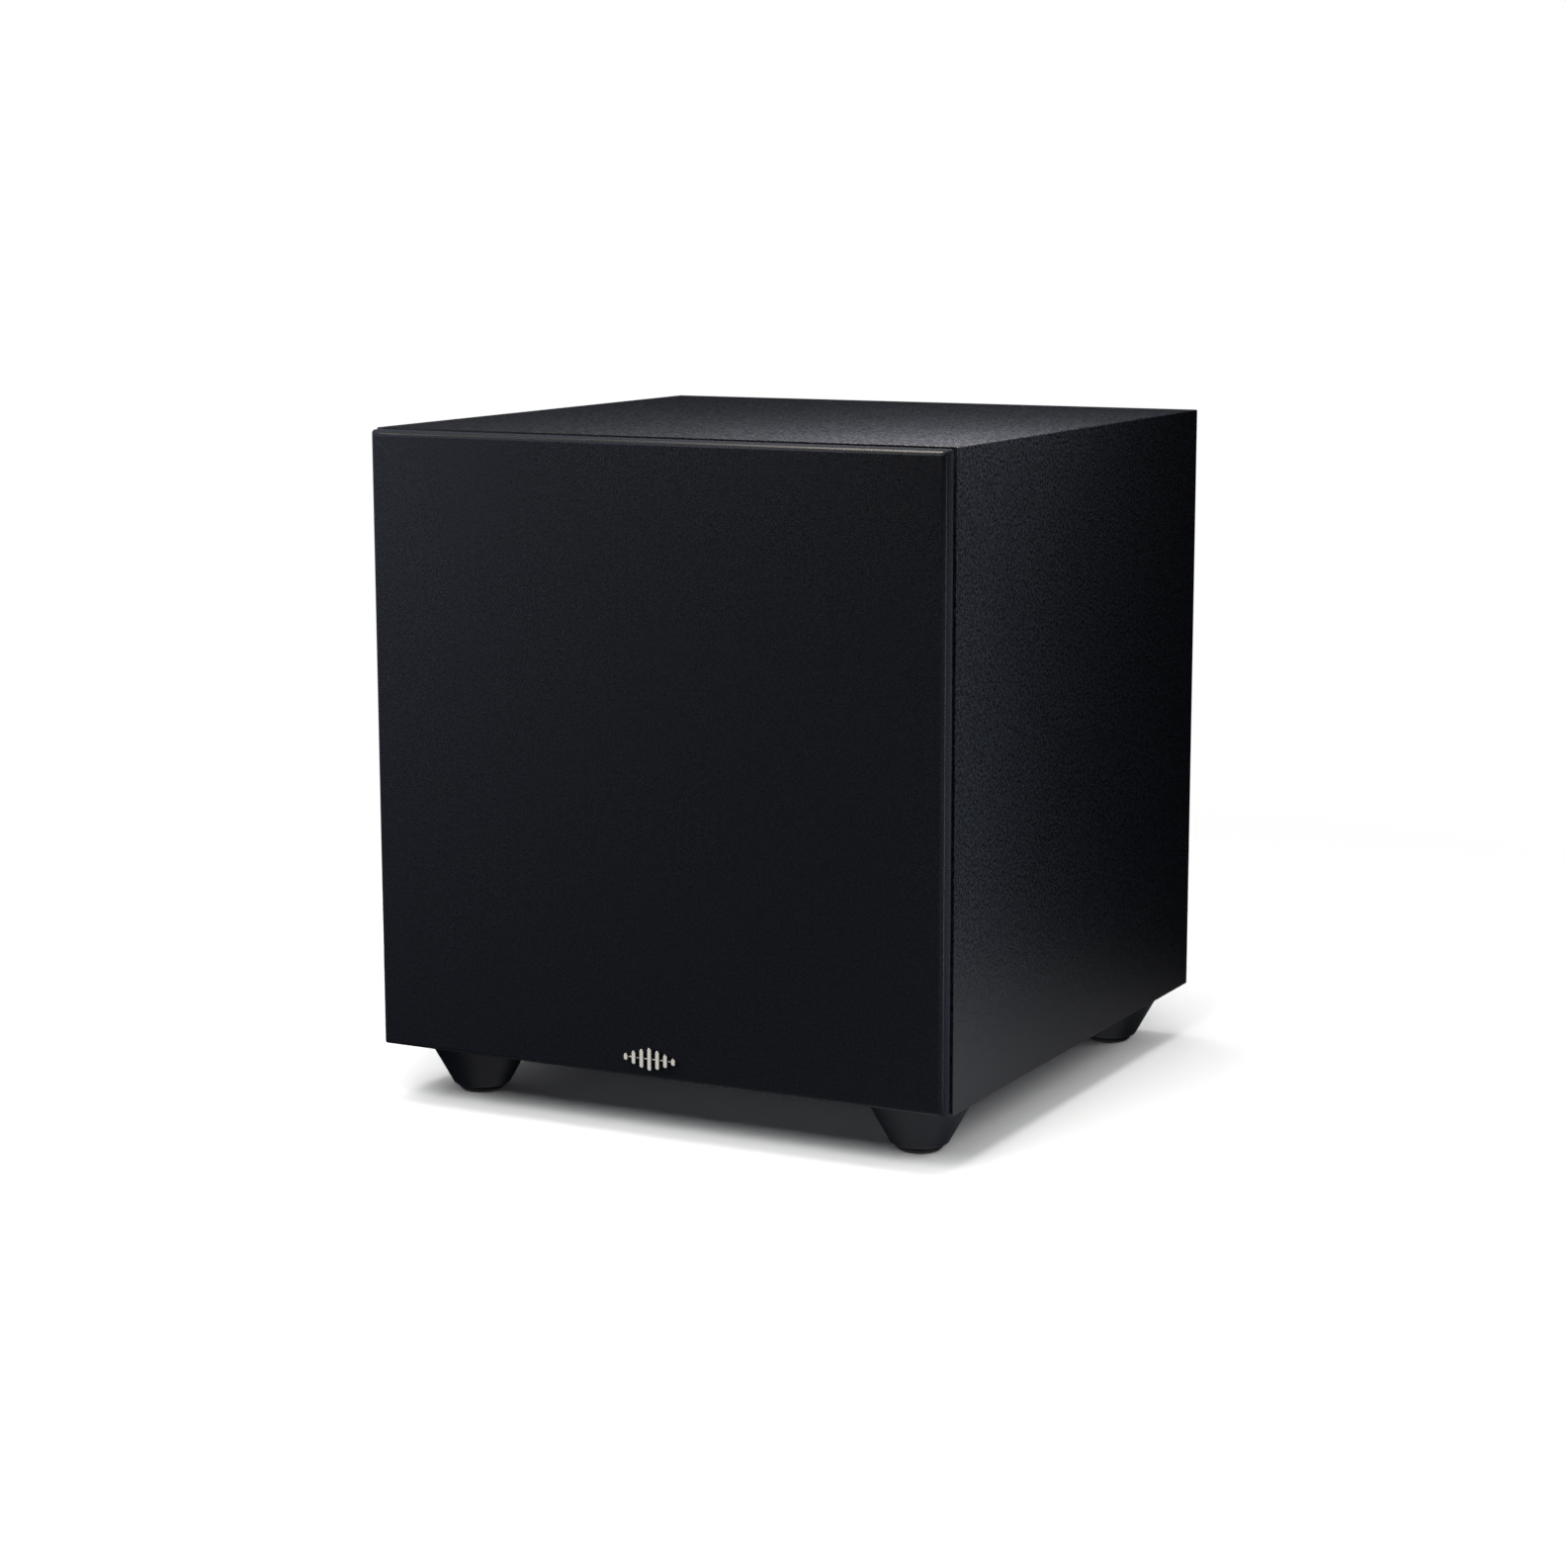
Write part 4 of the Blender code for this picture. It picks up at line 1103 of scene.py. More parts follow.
@dataclass
class Driver:
    """The 12-inch driver: basket, rubber surround, coated cone, dust cap and motor."""

    shop: Workshop
    flange_mm: float = -11.5
    flange_r_mm: float = 154.0
    cone_r_mm: float = 117.5
    coil_r_mm: float = 26.4
    cone_back_mm: float = -70.0
    roll_r_mm: float = 127.5
    windows: int = 8
    screws: int = 8
    waves: int = 4

    def build(self) -> None:
        """Makes every piece of the driver."""
        self.basket()
        self.moving_parts()
        self.surround()
        self.spider()
        self.shop.coat("rubber", "driver_gasket", "speaker_lead")
        self.shop.coat("steel", "top_plate", "yoke")
        self.shop.coat("ferrite", "magnet")
        self.shop.coat("copper", "voice_coil")
        self.shop.coat("moulding", "terminal_strip")

    def basket(self) -> None:
        """The cast basket, with windows between its spokes, and the screws in its flange."""
        front = self.flange_mm
        flange = [(self.flange_r_mm, front), (self.flange_r_mm, -16.5), (140, -16.5)]
        outside = [(139, -26), (87, -97), (81, -101), (81, -118), (46, -118)]
        inside = [(46, -114), (77, -114), (77, -98), (66, -98), (66, -94.5), (82, -94.5)]
        profile = flange + outside + inside + [(134.5, -25), (136, -18), (136, front)]
        basket = turned("cast_basket", soften(profile, 0.8, steps=2), self.shop.front, 128)
        near, far, spoke = 70, 150, 9
        spread = math.tan(math.pi / self.windows)
        corners = [
            (near, spoke - near * spread), (far, spoke - far * spread),
            (far, far * spread - spoke), (near, near * spread - spoke),
        ]
        cutters = []
        for i in range(self.windows):
            place = self.shop.front @ Matrix.Rotation(math.tau * i / self.windows, 4, "Z")
            cutters.append(slab(f"window_{i}", soften(corners, 6), -88, -32, place, 0))
        cut(basket, cutters)
        self.shop.dress(basket, "casting", "basket_casting", "cabinet", "driver_basket")
        places = []
        for i in range(self.screws):
            turn = Matrix.Rotation(math.tau * (i + 0.5) / self.screws, 4, "Z")
            places.append(self.shop.front @ turn @ Matrix.Translation((150.1 * MM, 0, (front + 0.1) * MM)))
        screws = socket_screws("driver_screws", 3.4, 2.4, places)
        self.shop.dress(screws, "oxide", "plated_steel")

    def level(self, radius: float) -> float:
        """Height of the cone's face at a radius, in millimetres."""
        share = (110 - radius) / (110 - 26.0)
        return self.flange_mm + (self.cone_back_mm - self.flange_mm) * (share + 0.12 * share * (1 - share))

    def moving_parts(self) -> None:
        """The curved cone and the domed cap over its middle."""
        steps = 16
        radii = [self.coil_r_mm + (110 - self.coil_r_mm) * i / steps for i in range(steps + 1)]
        face = [(r, self.level(r)) for r in reversed(radii)]
        back = [(r, self.level(r) - 1.8) for r in radii]
        rim, front = self.cone_r_mm, self.flange_mm
        profile = [(rim, front), (rim - 1, front), *face, *back, (rim, front - 1.5)]
        cone = turned("coated_cone", profile, self.shop.front, 128)
        self.shop.dress(cone, "cone", "cone_paper", "cone_assembly", "cone")
        rim, rise, skin = 58.0, 15.0, 1.0
        foot = self.level(rim) + 1.2
        radius = (rim**2 + rise**2) / (2 * rise)
        spread = math.degrees(math.asin(rim / radius))
        centre = (0.0, foot + rise - radius)
        dome = arc(centre, radius, 90, 90 - spread, 20)
        under = arc(centre, radius - skin, 90 - spread, 90, 20)
        lip = [(rim + 1.6, foot - 0.3), (rim + 1.6, foot - 0.9), (rim + 0.2, foot - 0.9)]
        dome[0], under[-1] = (0.0, dome[0][1]), (0.0, under[-1][1])
        cap = turned("domed_cap", dome + lip + under, self.shop.front, 96, False)
        self.shop.dress(cap, "dust_cap", "dust_cap_plastic", "cone_assembly", "dust_cap")

    def surround(self) -> None:
        """The half-roll surround between the cone and the basket."""
        low, top = self.flange_mm + 0.2, self.flange_mm + 1.4
        hub = (self.roll_r_mm, top)
        profile = [(110.4, low + 0.2), (110, top - 0.2), (110.4, top), (116.4, top)]
        profile += arc(hub, 10.1, 176, 4, 28) + [(138.6, top), (145.6, top), (146, top - 0.3), (146, low)]
        profile += [(136.4, low)] + arc(hub, 8.9, 0, 180, 28) + [(118.6, low)]
        ring = turned("rubber_surround", profile, self.shop.front, 128, crease=40)
        self.join_cone(ring, "surround")

    def spider(self) -> None:
        """The corrugated spider between the coil and the basket."""
        steps, height, outer = self.waves * 12, 2.0, 66.0
        line = []
        for i in range(steps + 1):
            wave = height * math.sin(math.tau * self.waves * i / steps)
            line.append((self.coil_r_mm + (outer - self.coil_r_mm) * i / steps, -93.9 + wave))
        upper = [(r, h + 0.35) for r, h in line] + [(80, -93.55)]
        lower = [(80, -94.25)] + [(r, h - 0.35) for r, h in reversed(line)]
        cloth = turned("corrugated_spider", upper + lower, self.shop.front, 96, crease=60)
        self.join_cone(cloth, "spider")

    def join_cone(self, piece: bpy.types.Object, node: str) -> None:
        """Gives a ring between the moving cone and the still basket its finish, and hides the CAD node that
        it stands for.

        Args:
            piece: The ring.
            node: The CAD node that it stands for, which is also its finish's name.
        """
        piece.modifiers.clear()
        piece.data.materials.clear()
        piece.data.materials.append(self.shop.materials[node])
        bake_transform(piece)
        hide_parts(node)
        LOG.info("%s joins the cone to the basket and stands for %s", piece.name, node)


class Control(Enum):
    """The three turned controls, by the name that their nodes start with."""

    LEVEL = "level"
    CROSSOVER = "crossover"
    PHASE = "phase"


@dataclass
class Amplifier:
    """The plate amplifier: plate, controls, jacks, switch and inlet, and what stands behind them."""

    shop: Workshop
    face_mm: float = 5.2
    plate_mm: float = 3.0
    ticks: int = 11
    sweep_deg: float = 300.0

    def build(self) -> None:
        """Makes every piece of the amplifier."""
        self.plate()
        for control in Control:
            self.knob(control)
        self.marks()
        for side, finish in (("left", "white"), ("right", "red")):
            self.jack(side, finish)
        self.light()
        self.slider()
        self.rocker()
        self.inlet()
        self.inside()

    def spot(self, node: str) -> Point:
        """Where a node's middle lies on the plate, in millimetres right and up as seen from behind."""
        local = self.shop.back.inverted() @ middle(node)
        return local.x / MM, local.y / MM

    def at(self, node: str) -> Matrix:
        """The place on the back at a node's middle."""
        x, y = self.spot(node)
        return self.shop.back @ Matrix.Translation((x * MM, y * MM, 0))

    def plate(self) -> None:
        """The anodised plate with its holes, and the screws round its edge."""
        low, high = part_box("amp_plate")
        wide, tall = (high.x - low.x) / MM, (high.z - low.z) / MM
        holes = [circle(4.9, 32, self.spot(f"{control.value}_knob")) for control in Control]
        holes += [circle(5.2, 32, self.spot(f"input_jack_{side}")) for side in ("left", "right")]
        holes += [circle(2.0, 24, self.spot("status_led"))]
        holes += [rounded(12, 5.6, 0.6, 2, self.spot("mode_switch"))]
        holes += [rounded(14, 20.6, 0.6, 2, self.spot("rocker_housing"))]
        holes += [rounded(28.6, 38.6, 1.5, 3, self.spot("mains_inlet"))]
        face, back = self.face_mm, self.face_mm - self.plate_mm
        plate = slab("amplifier_plate", rounded(wide, tall, 4), back, face, self.shop.back, 0.5, holes)
        self.shop.dress(plate, "plate", "amp_plate_metal", "cabinet", "amp_plate")
        inset = 6.5
        x, y = wide / 2 - inset, tall / 2 - inset
        spots = [(x * s, y * t) for s in (-1, -0.34, 0.34, 1) for t in (-1, 1)] + [(-x, 0), (x, 0)]
        places = [self.shop.back @ Matrix.Translation((u * MM, v * MM, self.face_mm * MM)) for u, v in spots]
        screws = socket_screws("plate_screws", 3.8, 2.3, places)
        self.shop.dress(screws, "oxide", "plated_steel")

    def knob(self, control: Control) -> None:
        """A fluted knob with a white pointer.

        Args:
            control: Which of the three it is.
        """
        node = f"{control.value}_knob"
        place = self.at(node)
        low, high = (self.shop.back.inverted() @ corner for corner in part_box(node))
        foot, top = self.face_mm + 0.6, max(low.z, high.z) / MM
        grip = fluted(9.9, 0.55, 18)
        crown = fluted(9.1, 0.5, 18)
        rings = [
            (3.0, -2.0), (3.0, foot), (9.0, foot), (10.0, foot + 0.3), (10.0, foot + 1.5),
            (9.75, foot + 2.0), (grip, foot + 2.6), (crown, top - 1.2), (8.5, top - 0.35), (7.6, top),
        ]
        knob = polar(f"{control.value}_control_knob", rings, [place], 144)
        self.shop.dress(knob, "moulding", "fitting_plastic", node, node)
        line = rounded(1.1, 6.4, 0.5, 3, (0, 4.2))
        pointer = slab(f"{control.value}_pointer", line, top - 0.3, top + 0.05, place, 0)
        self.shop.dress(pointer, "print", "fitting_plastic", node)

    def marks(self) -> None:
        """Printed ticks round each knob and plain frames round the control groups, with no lettering."""
        ink = 0.03
        made = []
        for control in Control:
            place = self.at(f"{control.value}_knob")
            for i in range(self.ticks):
                angle = math.radians(90 + self.sweep_deg * (0.5 - i / (self.ticks - 1)))
                length = 2.6 if i in (0, self.ticks // 2, self.ticks - 1) else 1.5
                turn = Matrix.Rotation(angle, 4, "Z")
                tick = [(12.5, -0.2), (12.5 + length, -0.2), (12.5 + length, 0.2), (12.5, 0.2)]
                made.append(slab("tick", tick, self.face_mm, self.face_mm + ink, place @ turn, 0))
        for centre, wide, tall in self.groups():
            outer = rounded(wide, tall, 3, 4, centre)
            inner = rounded(wide - 0.7, tall - 0.7, 2.65, 4, centre)
            made.append(slab("frame", outer, self.face_mm, self.face_mm + ink, self.shop.back, 0, [inner]))
        shape = bmesh.new()
        for part in made:
            shape.from_mesh(part.data)
            bpy.data.objects.remove(part, do_unlink=True)
        printed = new_object("panel_print", shape)
        self.shop.dress(printed, "print", "amp_plate_metal")

    def groups(self) -> list[tuple[Point, float, float]]:
        """Where the printed frames go, round what belongs together.

        Returns:
            Middle, width and height of each frame, in millimetres.
        """
        left, right = self.spot("level_knob")[0], self.spot("status_led")[0]
        upper = self.spot("level_knob")[1]
        jack_left, jack_right = self.spot("input_jack_left"), self.spot("input_jack_right")
        rocker, inlet = self.spot("rocker_housing"), self.spot("mains_inlet")
        return [
            (((left + right) / 2, upper), right - left + 46, 44),
            (((jack_left[0] + jack_right[0]) / 2, jack_left[1]), 52, 26),
            (((rocker[0] + inlet[0]) / 2 + 3, inlet[1]), 98, 54),
        ]

    def jack(self, side: str, finish: str) -> None:
        """A line input jack: a flashed shell and nut with a coloured insulator in its mouth.

        Args:
            side: left or right, as its node says.
            finish: The insulator's finish.
        """
        node = f"input_jack_{side}"
        place = self.at(node)
        face = self.face_mm
        rings: list[tuple[Radius, float]] = [
            (6.2, -9.0), (6.2, 1.9), (4.9, 1.9), (4.9, face + 0.3), (hexagon(11.6), face + 0.3),
            (hexagon(11.6), face + 2.0), (4.5, face + 2.3), (4.15, face + 2.4), (4.15, 14.0), (3.9, 14.4),
            (3.5, 14.4), (3.5, 13.2),
        ]
        shell = polar(f"line_jack_{side}", rings, [place], 48)
        self.shop.dress(shell, "gold", "gold_plated_brass", "cabinet", node)
        liner = [(1.7, 13.1), (3.4, 13.1), (3.4, 14.1), (1.9, 14.1), (1.7, 13.9)]
        insert = turned(f"line_jack_insert_{side}", liner, place, 48)
        self.shop.dress(insert, finish, "fitting_plastic")

    def light(self) -> None:
        """The status light: a domed lens in a thin bezel."""
        place = self.at("status_led")
        dome = arc((0, 4.7), 1.7, 0, 90, 8)
        lens = turned("status_light", [(0, -4), (1.7, -4)] + dome[:-1] + [(0, 6.4)], place, 32, False)
        self.shop.dress(lens, "lens", "led_lens", "cabinet", "status_led")
        ring = [(1.9, 5.25), (3.0, 5.25), (3.0, 5.6), (2.6, 6.0), (1.9, 6.0)]
        bezel = turned("status_light_bezel", soften(ring, 0.15), place, 40)
        self.shop.dress(bezel, "steel", "plated_steel")

    def slider(self) -> None:
        """The slide switch: a ribbed lever in a plated housing."""
        self.shop.coat("steel", "mode_switch")
        ribs = [(-2.1, 0), (-2.1, 8.0)]
        for i in range(4):
            x = -1.5 + i * 1.0
            ribs += [(x - 0.3, 8.4), (x + 0.1, 8.4), (x + 0.3, 7.7)]
        ribs += [(2.1, 8.0), (2.1, 0)]
        outline = [(x, y - 1.6 if y == 0 else y) for x, y in ribs]
        place = self.at("mode_slider") @ Matrix.Rotation(math.radians(90), 4, "X")
        lever = slab("mode_lever", outline, -1.75, 1.75, place, 0.12)
        self.shop.dress(lever, "moulding", "fitting_plastic", "mode_slider", "mode_slider")

    def rocker(self) -> None:
        """The power switch: a framed housing and a waisted rocker."""
        place = self.at("rocker_housing")
        face = self.face_mm
        mouth = [rounded(10.6, 17.4, 0.4, 2)]
        rim = slab("switch_frame", rounded(17, 24, 1.5), face + 0.2, face + 2.0, place, 0.5, mouth, 3)
        self.shop.dress(rim, "moulding", "fitting_plastic", "cabinet", "rocker_housing")
        well = slab("switch_well", rounded(13.2, 19.8, 0.5, 2), -13.8, face + 0.4, place, 0.0, mouth)
        self.shop.dress(well, "moulding", "fitting_plastic")
        tilt = math.radians(8)
        pivot = place @ Matrix.Translation((0, 0, (face - 2) * MM)) @ Matrix.Rotation(tilt, 4, "X")
        waist = arc((0, 25.0), 19.6, -71, -109, 8)
        side = [(-7.2, -3.2), (7.2, -3.2), (7.4, 6.6), (6.4, 7.2), *waist, (-6.4, 7.2), (-7.4, 6.6)]
        # The side view is drawn across the rocker and raised along its axle.
        quarter = math.radians(90)
        across = pivot @ Matrix.Rotation(quarter, 4, "Z") @ Matrix.Rotation(quarter, 4, "X")
        rocker = slab("power_rocker_key", side, -4.9, 4.9, across, 0.4, (), 3)
        self.shop.dress(rocker, "foot", "fitting_plastic", "power_rocker", "power_rocker")

    def inlet(self) -> None:
        """The mains inlet: a framed recess with three blades, and the fuse drawer below."""
        x, y = self.spot("mains_inlet")
        place = self.shop.back @ Matrix.Translation((x * MM, y * MM, 0))
        face, front, back = self.face_mm, self.face_mm + 2.4, self.face_mm - 30
        upper = [(12.3, 10.2), (8.2, 14.4), (-8.2, 14.4), (-12.3, 10.2)]
        recess = soften([(-12.3, -2.4), (12.3, -2.4), *upper], 0.8)
        drawer_y = self.spot("fuse_drawer")[1] - y
        slot = rounded(22.2, 8.2, 0.4, 2, (0, drawer_y))
        rim = slab("inlet_frame", rounded(32, 42, 2), face + 0.2, front, place, 0.5, [recess, slot], 3)
        self.shop.dress(rim, "moulding", "fitting_plastic", "cabinet", "mains_inlet")
        block, holes = rounded(27.6, 37.6, 1), [recess, slot]
        body = slab("inlet_body", block, front - 16.5, face + 0.25, place, 0, holes)
        self.shop.dress(body, "moulding", "fitting_plastic")
        blades = [rounded(2.4, 4.4, 0.1, 1, (u, v)) for u, v in ((-7, 5), (7, 5), (0, 9.4))]
        floor = slab("inlet_floor", block, back, front - 16.6, place, 0, [slot, *blades])
        self.shop.dress(floor, "moulding", "fitting_plastic")
        wall = slab("inlet_back", rounded(22.0, 8.0, 0.4, 2, (0, drawer_y)), back, front - 25.2, place, 0)
        self.shop.dress(wall, "moulding", "fitting_plastic")
        self.shop.coat("steel", "inlet_pins")
        cover = front + 0.2
        outline = rounded(23.6, 9.6, 0.8, 3, (0, drawer_y))
        drawer = slab("fuse_drawer_face", outline, cover, cover + 1.2, place, 0.3)
        self.shop.dress(drawer, "moulding", "fitting_plastic", "fuse_drawer", "fuse_drawer")
        well = [rounded(18, 3.4, 0.3, 2, (0, drawer_y))]
        outline = rounded(21.6, 7.6, 0.3, 2, (0, drawer_y))
        tray = slab("fuse_drawer_tray", outline, cover - 21.6, cover + 0.1, place, 0, well)
        self.shop.dress(tray, "moulding", "fitting_plastic", "fuse_drawer")
        lying = Matrix.Rotation(math.radians(90), 4, "Y")
        glass = place @ Matrix.Translation((0, drawer_y * MM, (cover - 11) * MM)) @ lying
        fuse = turned("spare_fuse", [(0, -8), (1.5, -8), (1.5, 8), (0, 8)], glass, 24, False)
        self.shop.dress(fuse, "steel", "plated_steel", "fuse_drawer")

    def inside(self) -> None:
        """What stands behind the plate keeps its plain shape."""
        self.shop.coat("rubber", "amp_gasket")
        self.shop.coat("steel", *(f"{control.value}_pot" for control in Control))
        self.shop.coat("circuit", "power_board", "control_board")
        self.shop.coat("tape", "toroidal_transformer")
        self.shop.coat("sleeve", "capacitor_left", "capacitor_right")


# ----------------------------------------------------------------------------------------------------
# The studio
# ----------------------------------------------------------------------------------------------------


# A little below daylight, which takes the wrap's blue out of the top.
WARM = (1.0, 0.91, 0.78)


class Lit(Enum):
    """What a light falls on. A studio does this with flags and cutters, a render with light linking."""

    OBJECT = "object_only"
    CABINET = "object_but_grille"
    GRILLE = "grille_only"
    FLOOR = "floor_only"


@dataclass(frozen=True)
class Softbox:
    """A soft rectangular light.

    Attributes:
        name: What it is for.
        place: Its middle.
        target: The point that it faces.
        size: Width and height in metres.
        power: Watts.
        lit: What it falls on.
        colour: Its linear colour.
    """

    name: str
    place: tuple[float, float, float]
    target: tuple[float, float, float]
    size: tuple[float, float]
    power: float
    lit: Lit = Lit.OBJECT
    colour: tuple[float, float, float] = (1.0, 1.0, 1.0)

    def build(self, receivers: bpy.types.Collection) -> None:
        """Hangs the light.

        Args:
            receivers: What it falls on. Unless that is the floor, nothing else throws a shadow in it either.
        """
        lamp = bpy.data.lights.new(self.name, "AREA")
        lamp.shape = "RECTANGLE"
        lamp.size, lamp.size_y = self.size
        lamp.energy = self.power
        lamp.color = self.colour
        made = bpy.data.objects.new(self.name, lamp)
        made.location = self.place
        aim = Vector(self.target) - Vector(self.place)
        made.rotation_euler = aim.to_track_quat("-Z", "Y").to_euler()
        made.visible_camera = False
        made.light_linking.receiver_collection = receivers
        if self.lit is not Lit.FLOOR:
            made.light_linking.blocker_collection = receivers
        bpy.context.scene.collection.objects.link(made)


@dataclass(frozen=True)
class Studio:
    """A plain white floor and ground, soft lights, and the camera."""

    position: tuple[float, float, float] = (1.0057, -1.9662, 0.5725)
    heading_deg: float = 27.47
    pitch_deg: float = 9.814
    roll_deg: float = -0.117
    lens_mm: float = 77.4
    ambient: float = 0.004
    floor_gain: float = 2.7
    floor_bounce: float = 0.8
    floor_fade: tuple[float, float] = (0.55, 1.1)
    bounce_centre: tuple[float, float] = (0.35, -0.1)
    bounce_fade: tuple[float, float] = (0.1, 0.55)
    lights: tuple[Softbox, ...] = (
        Softbox("overhead_softbox", (0.0, 0.2, 1.6), (0.0, 0.2, 0.0), (1.2, 1.0), 12.5),
        Softbox(
            "top_corner_light", (0.28, -0.12, 0.62), (0.15, -0.15, 0.43), (0.12, 0.12), 1.12,
            Lit.CABINET, WARM,
        ),
        Softbox(
            "top_edge_light", (0.18, -0.19, 0.6), (0.15, -0.17, 0.43), (0.12, 0.06), 1.21,
            Lit.CABINET, WARM,
        ),
        Softbox("top_strip", (0.12, -0.2, 0.64), (0.1, -0.17, 0.43), (0.3, 0.04), 1.3, colour=WARM),
        Softbox("left_key", (-0.45, -0.38, 0.55), (-0.1, -0.21, 0.3), (0.2, 0.2), 1.48, Lit.GRILLE),
        Softbox("left_fill", (-0.6, -0.6, 0.35), (-0.1, -0.21, 0.2), (0.4, 0.3), 1.03),
        Softbox("side_strip", (0.34, -0.21, 0.22), (0.2, -0.19, 0.22), (0.04, 0.4), 0.33),
        Softbox("low_front", (-0.5, -1.05, -0.2), (0.0, -0.21, 0.05), (0.8, 0.4), 1.0),
        Softbox("under_fill", (0.1, -0.1, -1.4), (0.0, 0.0, 0.0), (1.6, 1.6), 3.5),
        Softbox("back_high", (0.5, 1.3, 1.9), (0.0, 0.1, 0.3), (1.0, 0.8), 1.0),
        Softbox("back_low", (-0.25, 1.3, 0.26), (0.0, 0.2, 0.22), (0.9, 0.32), 8.0),
        Softbox("floor_overhead", (0.0, 0.0, 1.5), (0.0, 0.0, 0.0), (1.0, 1.0), 4.9, Lit.FLOOR),
        Softbox("floor_ceiling", (0.0, 0.0, 1.3), (0.0, 0.0, 0.0), (2.6, 2.6), 7.5, Lit.FLOOR),
        Softbox("floor_front", (0.0, -1.2, 1.2), (0.0, 0.0, 0.0), (0.8, 0.8), 5.1, Lit.FLOOR),
        Softbox("floor_front_low", (0.3, -2.0, 0.5), (0.0, 0.0, 0.0), (1.0, 0.5), 0.4, Lit.FLOOR),
        Softbox("floor_left", (-1.5, 0.0, 1.0), (0.0, 0.0, 0.0), (0.8, 0.8), 0.9, Lit.FLOOR),
        Softbox("floor_left_near", (-0.6, -0.2, 1.0), (0.0, 0.0, 0.0), (0.5, 0.5), 0.6, Lit.FLOOR),
        Softbox("floor_right_front", (1.2, -1.0, 1.0), (0.0, 0.0, 0.0), (0.6, 0.6), 2.9, Lit.FLOOR),
        Softbox("floor_right_back", (1.5, 0.6, 1.0), (0.0, 0.0, 0.0), (0.8, 0.8), 1.6, Lit.FLOOR),
    )

    def build(self) -> None:
        """Sets up the ground, the floor, the lights and the camera, when every piece is there."""
        self.ground()
        pieces = [piece for piece in bpy.context.scene.objects if piece.type in ("MESH", "CURVE")]
        receivers = {lit: bpy.data.collections.new(lit.value) for lit in Lit}
        for piece in pieces:
            receivers[Lit.OBJECT].objects.link(piece)
            part = Lit.GRILLE if piece.name.startswith(("grille", "badge")) else Lit.CABINET
            receivers[part].objects.link(piece)
        receivers[Lit.FLOOR].objects.link(self.floor())
        for light in self.lights:
            light.build(receivers[light.lit])
        self.camera()
        settings = bpy.context.scene.view_settings
        settings.view_transform = "Standard"
        settings.look = "None"

    def ground(self) -> None:
        """White behind the object for the camera, and dim grey for everything that the object reflects."""
        world = bpy.data.worlds.new("studio")
        bpy.context.scene.world = world
        world.use_nodes = True
        tree = world.node_tree
        tree.nodes.clear()
        seen = add(tree, "ShaderNodeLightPath").outputs["Is Camera Ray"]
        dim = add(tree, "ShaderNodeBackground", {"Color": (1.0, 1.0, 1.0, 1.0), "Strength": self.ambient})
        white = add(tree, "ShaderNodeBackground", {"Color": (1.0, 1.0, 1.0, 1.0), "Strength": 1.0})
        mix = add(tree, "ShaderNodeMixShader", {0: seen, 1: dim.outputs[0], 2: white.outputs[0]})
        add(tree, "ShaderNodeOutputWorld", {"Surface": mix.outputs[0]})

    def floor(self) -> bpy.types.Object:
        """A floor that looks pure white and bounces less light than that, as if it ended near the object.

        It is clear from below, so that the underside can be seen too.

        Returns:
            The floor.
        """
        shape = bmesh.new()
        bmesh.ops.create_grid(shape, x_segments=1, y_segments=1, size=12.0)
        floor = new_object("studio_floor", shape)
        material, tree, shader = empty_material("studio_floor_paint")
        tree.nodes.remove(shader)
        seen = self.fade(tree, (0.0, 0.0, 0.0), self.floor_fade, (0.0, 1.0))
        centre = (*self.bounce_centre, 0.0)
        dull = self.fade(tree, centre, self.bounce_fade, (self.floor_bounce, 0.0))
        path = add(tree, "ShaderNodeLightPath").outputs["Is Camera Ray"]
        below = add(tree, "ShaderNodeNewGeometry").outputs["Backfacing"]
        gain = (*[self.floor_gain] * 3, 1.0)
        lit = add(tree, "ShaderNodeBsdfDiffuse", {"Color": gain})
        white = add(tree, "ShaderNodeEmission", {"Strength": 1.0})
        bounce = add(tree, "ShaderNodeBsdfDiffuse", {"Color": dull})
        burnt = add(tree, "ShaderNodeMixShader", {0: seen, 1: lit.outputs[0], 2: white.outputs[0]})
        above = add(tree, "ShaderNodeMixShader", {0: path, 1: bounce.outputs[0], 2: burnt.outputs[0]})
        clear = add(tree, "ShaderNodeBsdfTransparent")
        side = add(tree, "ShaderNodeMixShader", {0: below, 1: above.outputs[0], 2: clear.outputs[0]})
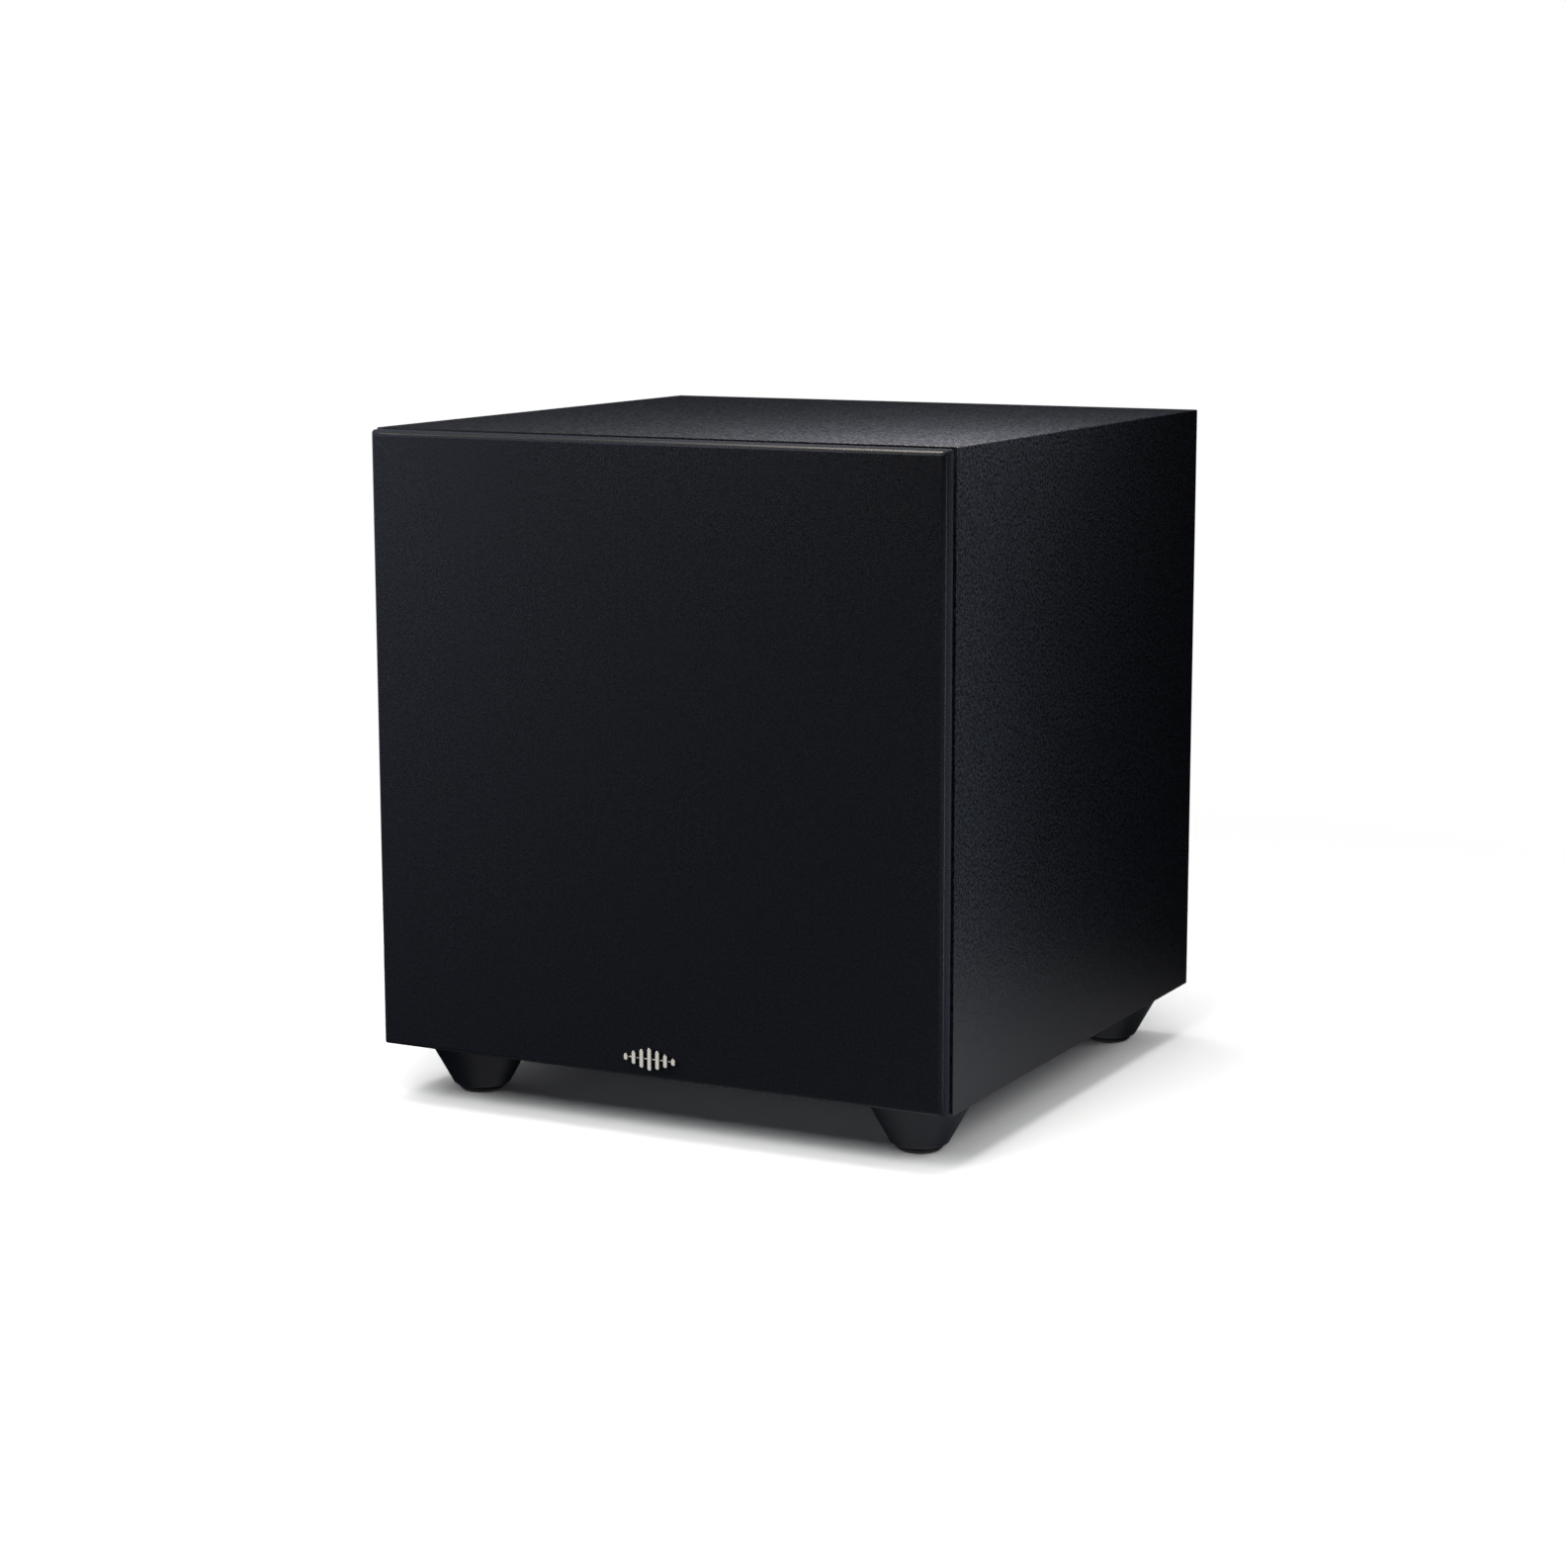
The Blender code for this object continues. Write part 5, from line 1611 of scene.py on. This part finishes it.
        tree.links.new(side.outputs[0], tree.nodes["Material Output"].inputs["Surface"])
        floor.data.materials.append(material)
        return floor

    @staticmethod
    def fade(
        tree: bpy.types.NodeTree, centre: tuple[float, float, float], span: Point, levels: Point
    ) -> bpy.types.NodeSocket:
        """A value that changes smoothly with the distance from a point.

        Args:
            tree: The node tree.
            centre: The point.
            span: Distances between which it changes, in metres.
            levels: Its values up to the nearer and from the farther distance.

        Returns:
            The value's socket.
        """
        place = add(tree, "ShaderNodeTexCoord").outputs["Object"]
        gap = {0: place, 1: centre}
        away = add(tree, "ShaderNodeVectorMath", gap, operation="DISTANCE").outputs["Value"]
        steps = {0: away, 1: span[0], 2: span[1], 3: levels[0], 4: levels[1]}
        return add(tree, "ShaderNodeMapRange", steps, interpolation_type="SMOOTHSTEP").outputs[0]

    def camera(self) -> None:
        """A short telephoto, a little above the object and to its right."""
        data = bpy.data.cameras.new("studio_camera")
        data.lens = self.lens_mm
        data.sensor_width = 36.0
        made = bpy.data.objects.new("studio_camera", data)
        made.matrix_world = (
            Matrix.Translation(self.position)
            @ Matrix.Rotation(math.radians(self.heading_deg), 4, "Z")
            @ Matrix.Rotation(math.radians(90 - self.pitch_deg), 4, "X")
            @ Matrix.Rotation(math.radians(self.roll_deg), 4, "Z")
        )
        bpy.context.scene.collection.objects.link(made)
        bpy.context.scene.camera = made


def clear_scene() -> None:
    """Removes the start-up scene's objects."""
    for made in list(bpy.data.objects):
        bpy.data.objects.remove(made, do_unlink=True)


def corners(bounds: tuple[Vector, Vector]) -> list[list[float]]:
    """Two corners as plain lists."""
    return [list(corner) for corner in bounds]


def main() -> None:
    """Builds the subwoofer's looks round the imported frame, and the studio round the subwoofer."""
    logging.basicConfig(level=logging.INFO, format="%(message)s")
    clear_scene()
    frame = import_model()
    shop = Workshop(frame, {name: finish.build() for name, finish in FINISHES.items()})
    for assembly in (Cabinet(shop), Feet(shop), Port(shop), Grille(shop), Driver(shop), Amplifier(shop)):
        assembly.build()
    Studio().build()


if __name__ == "__main__":
    main()
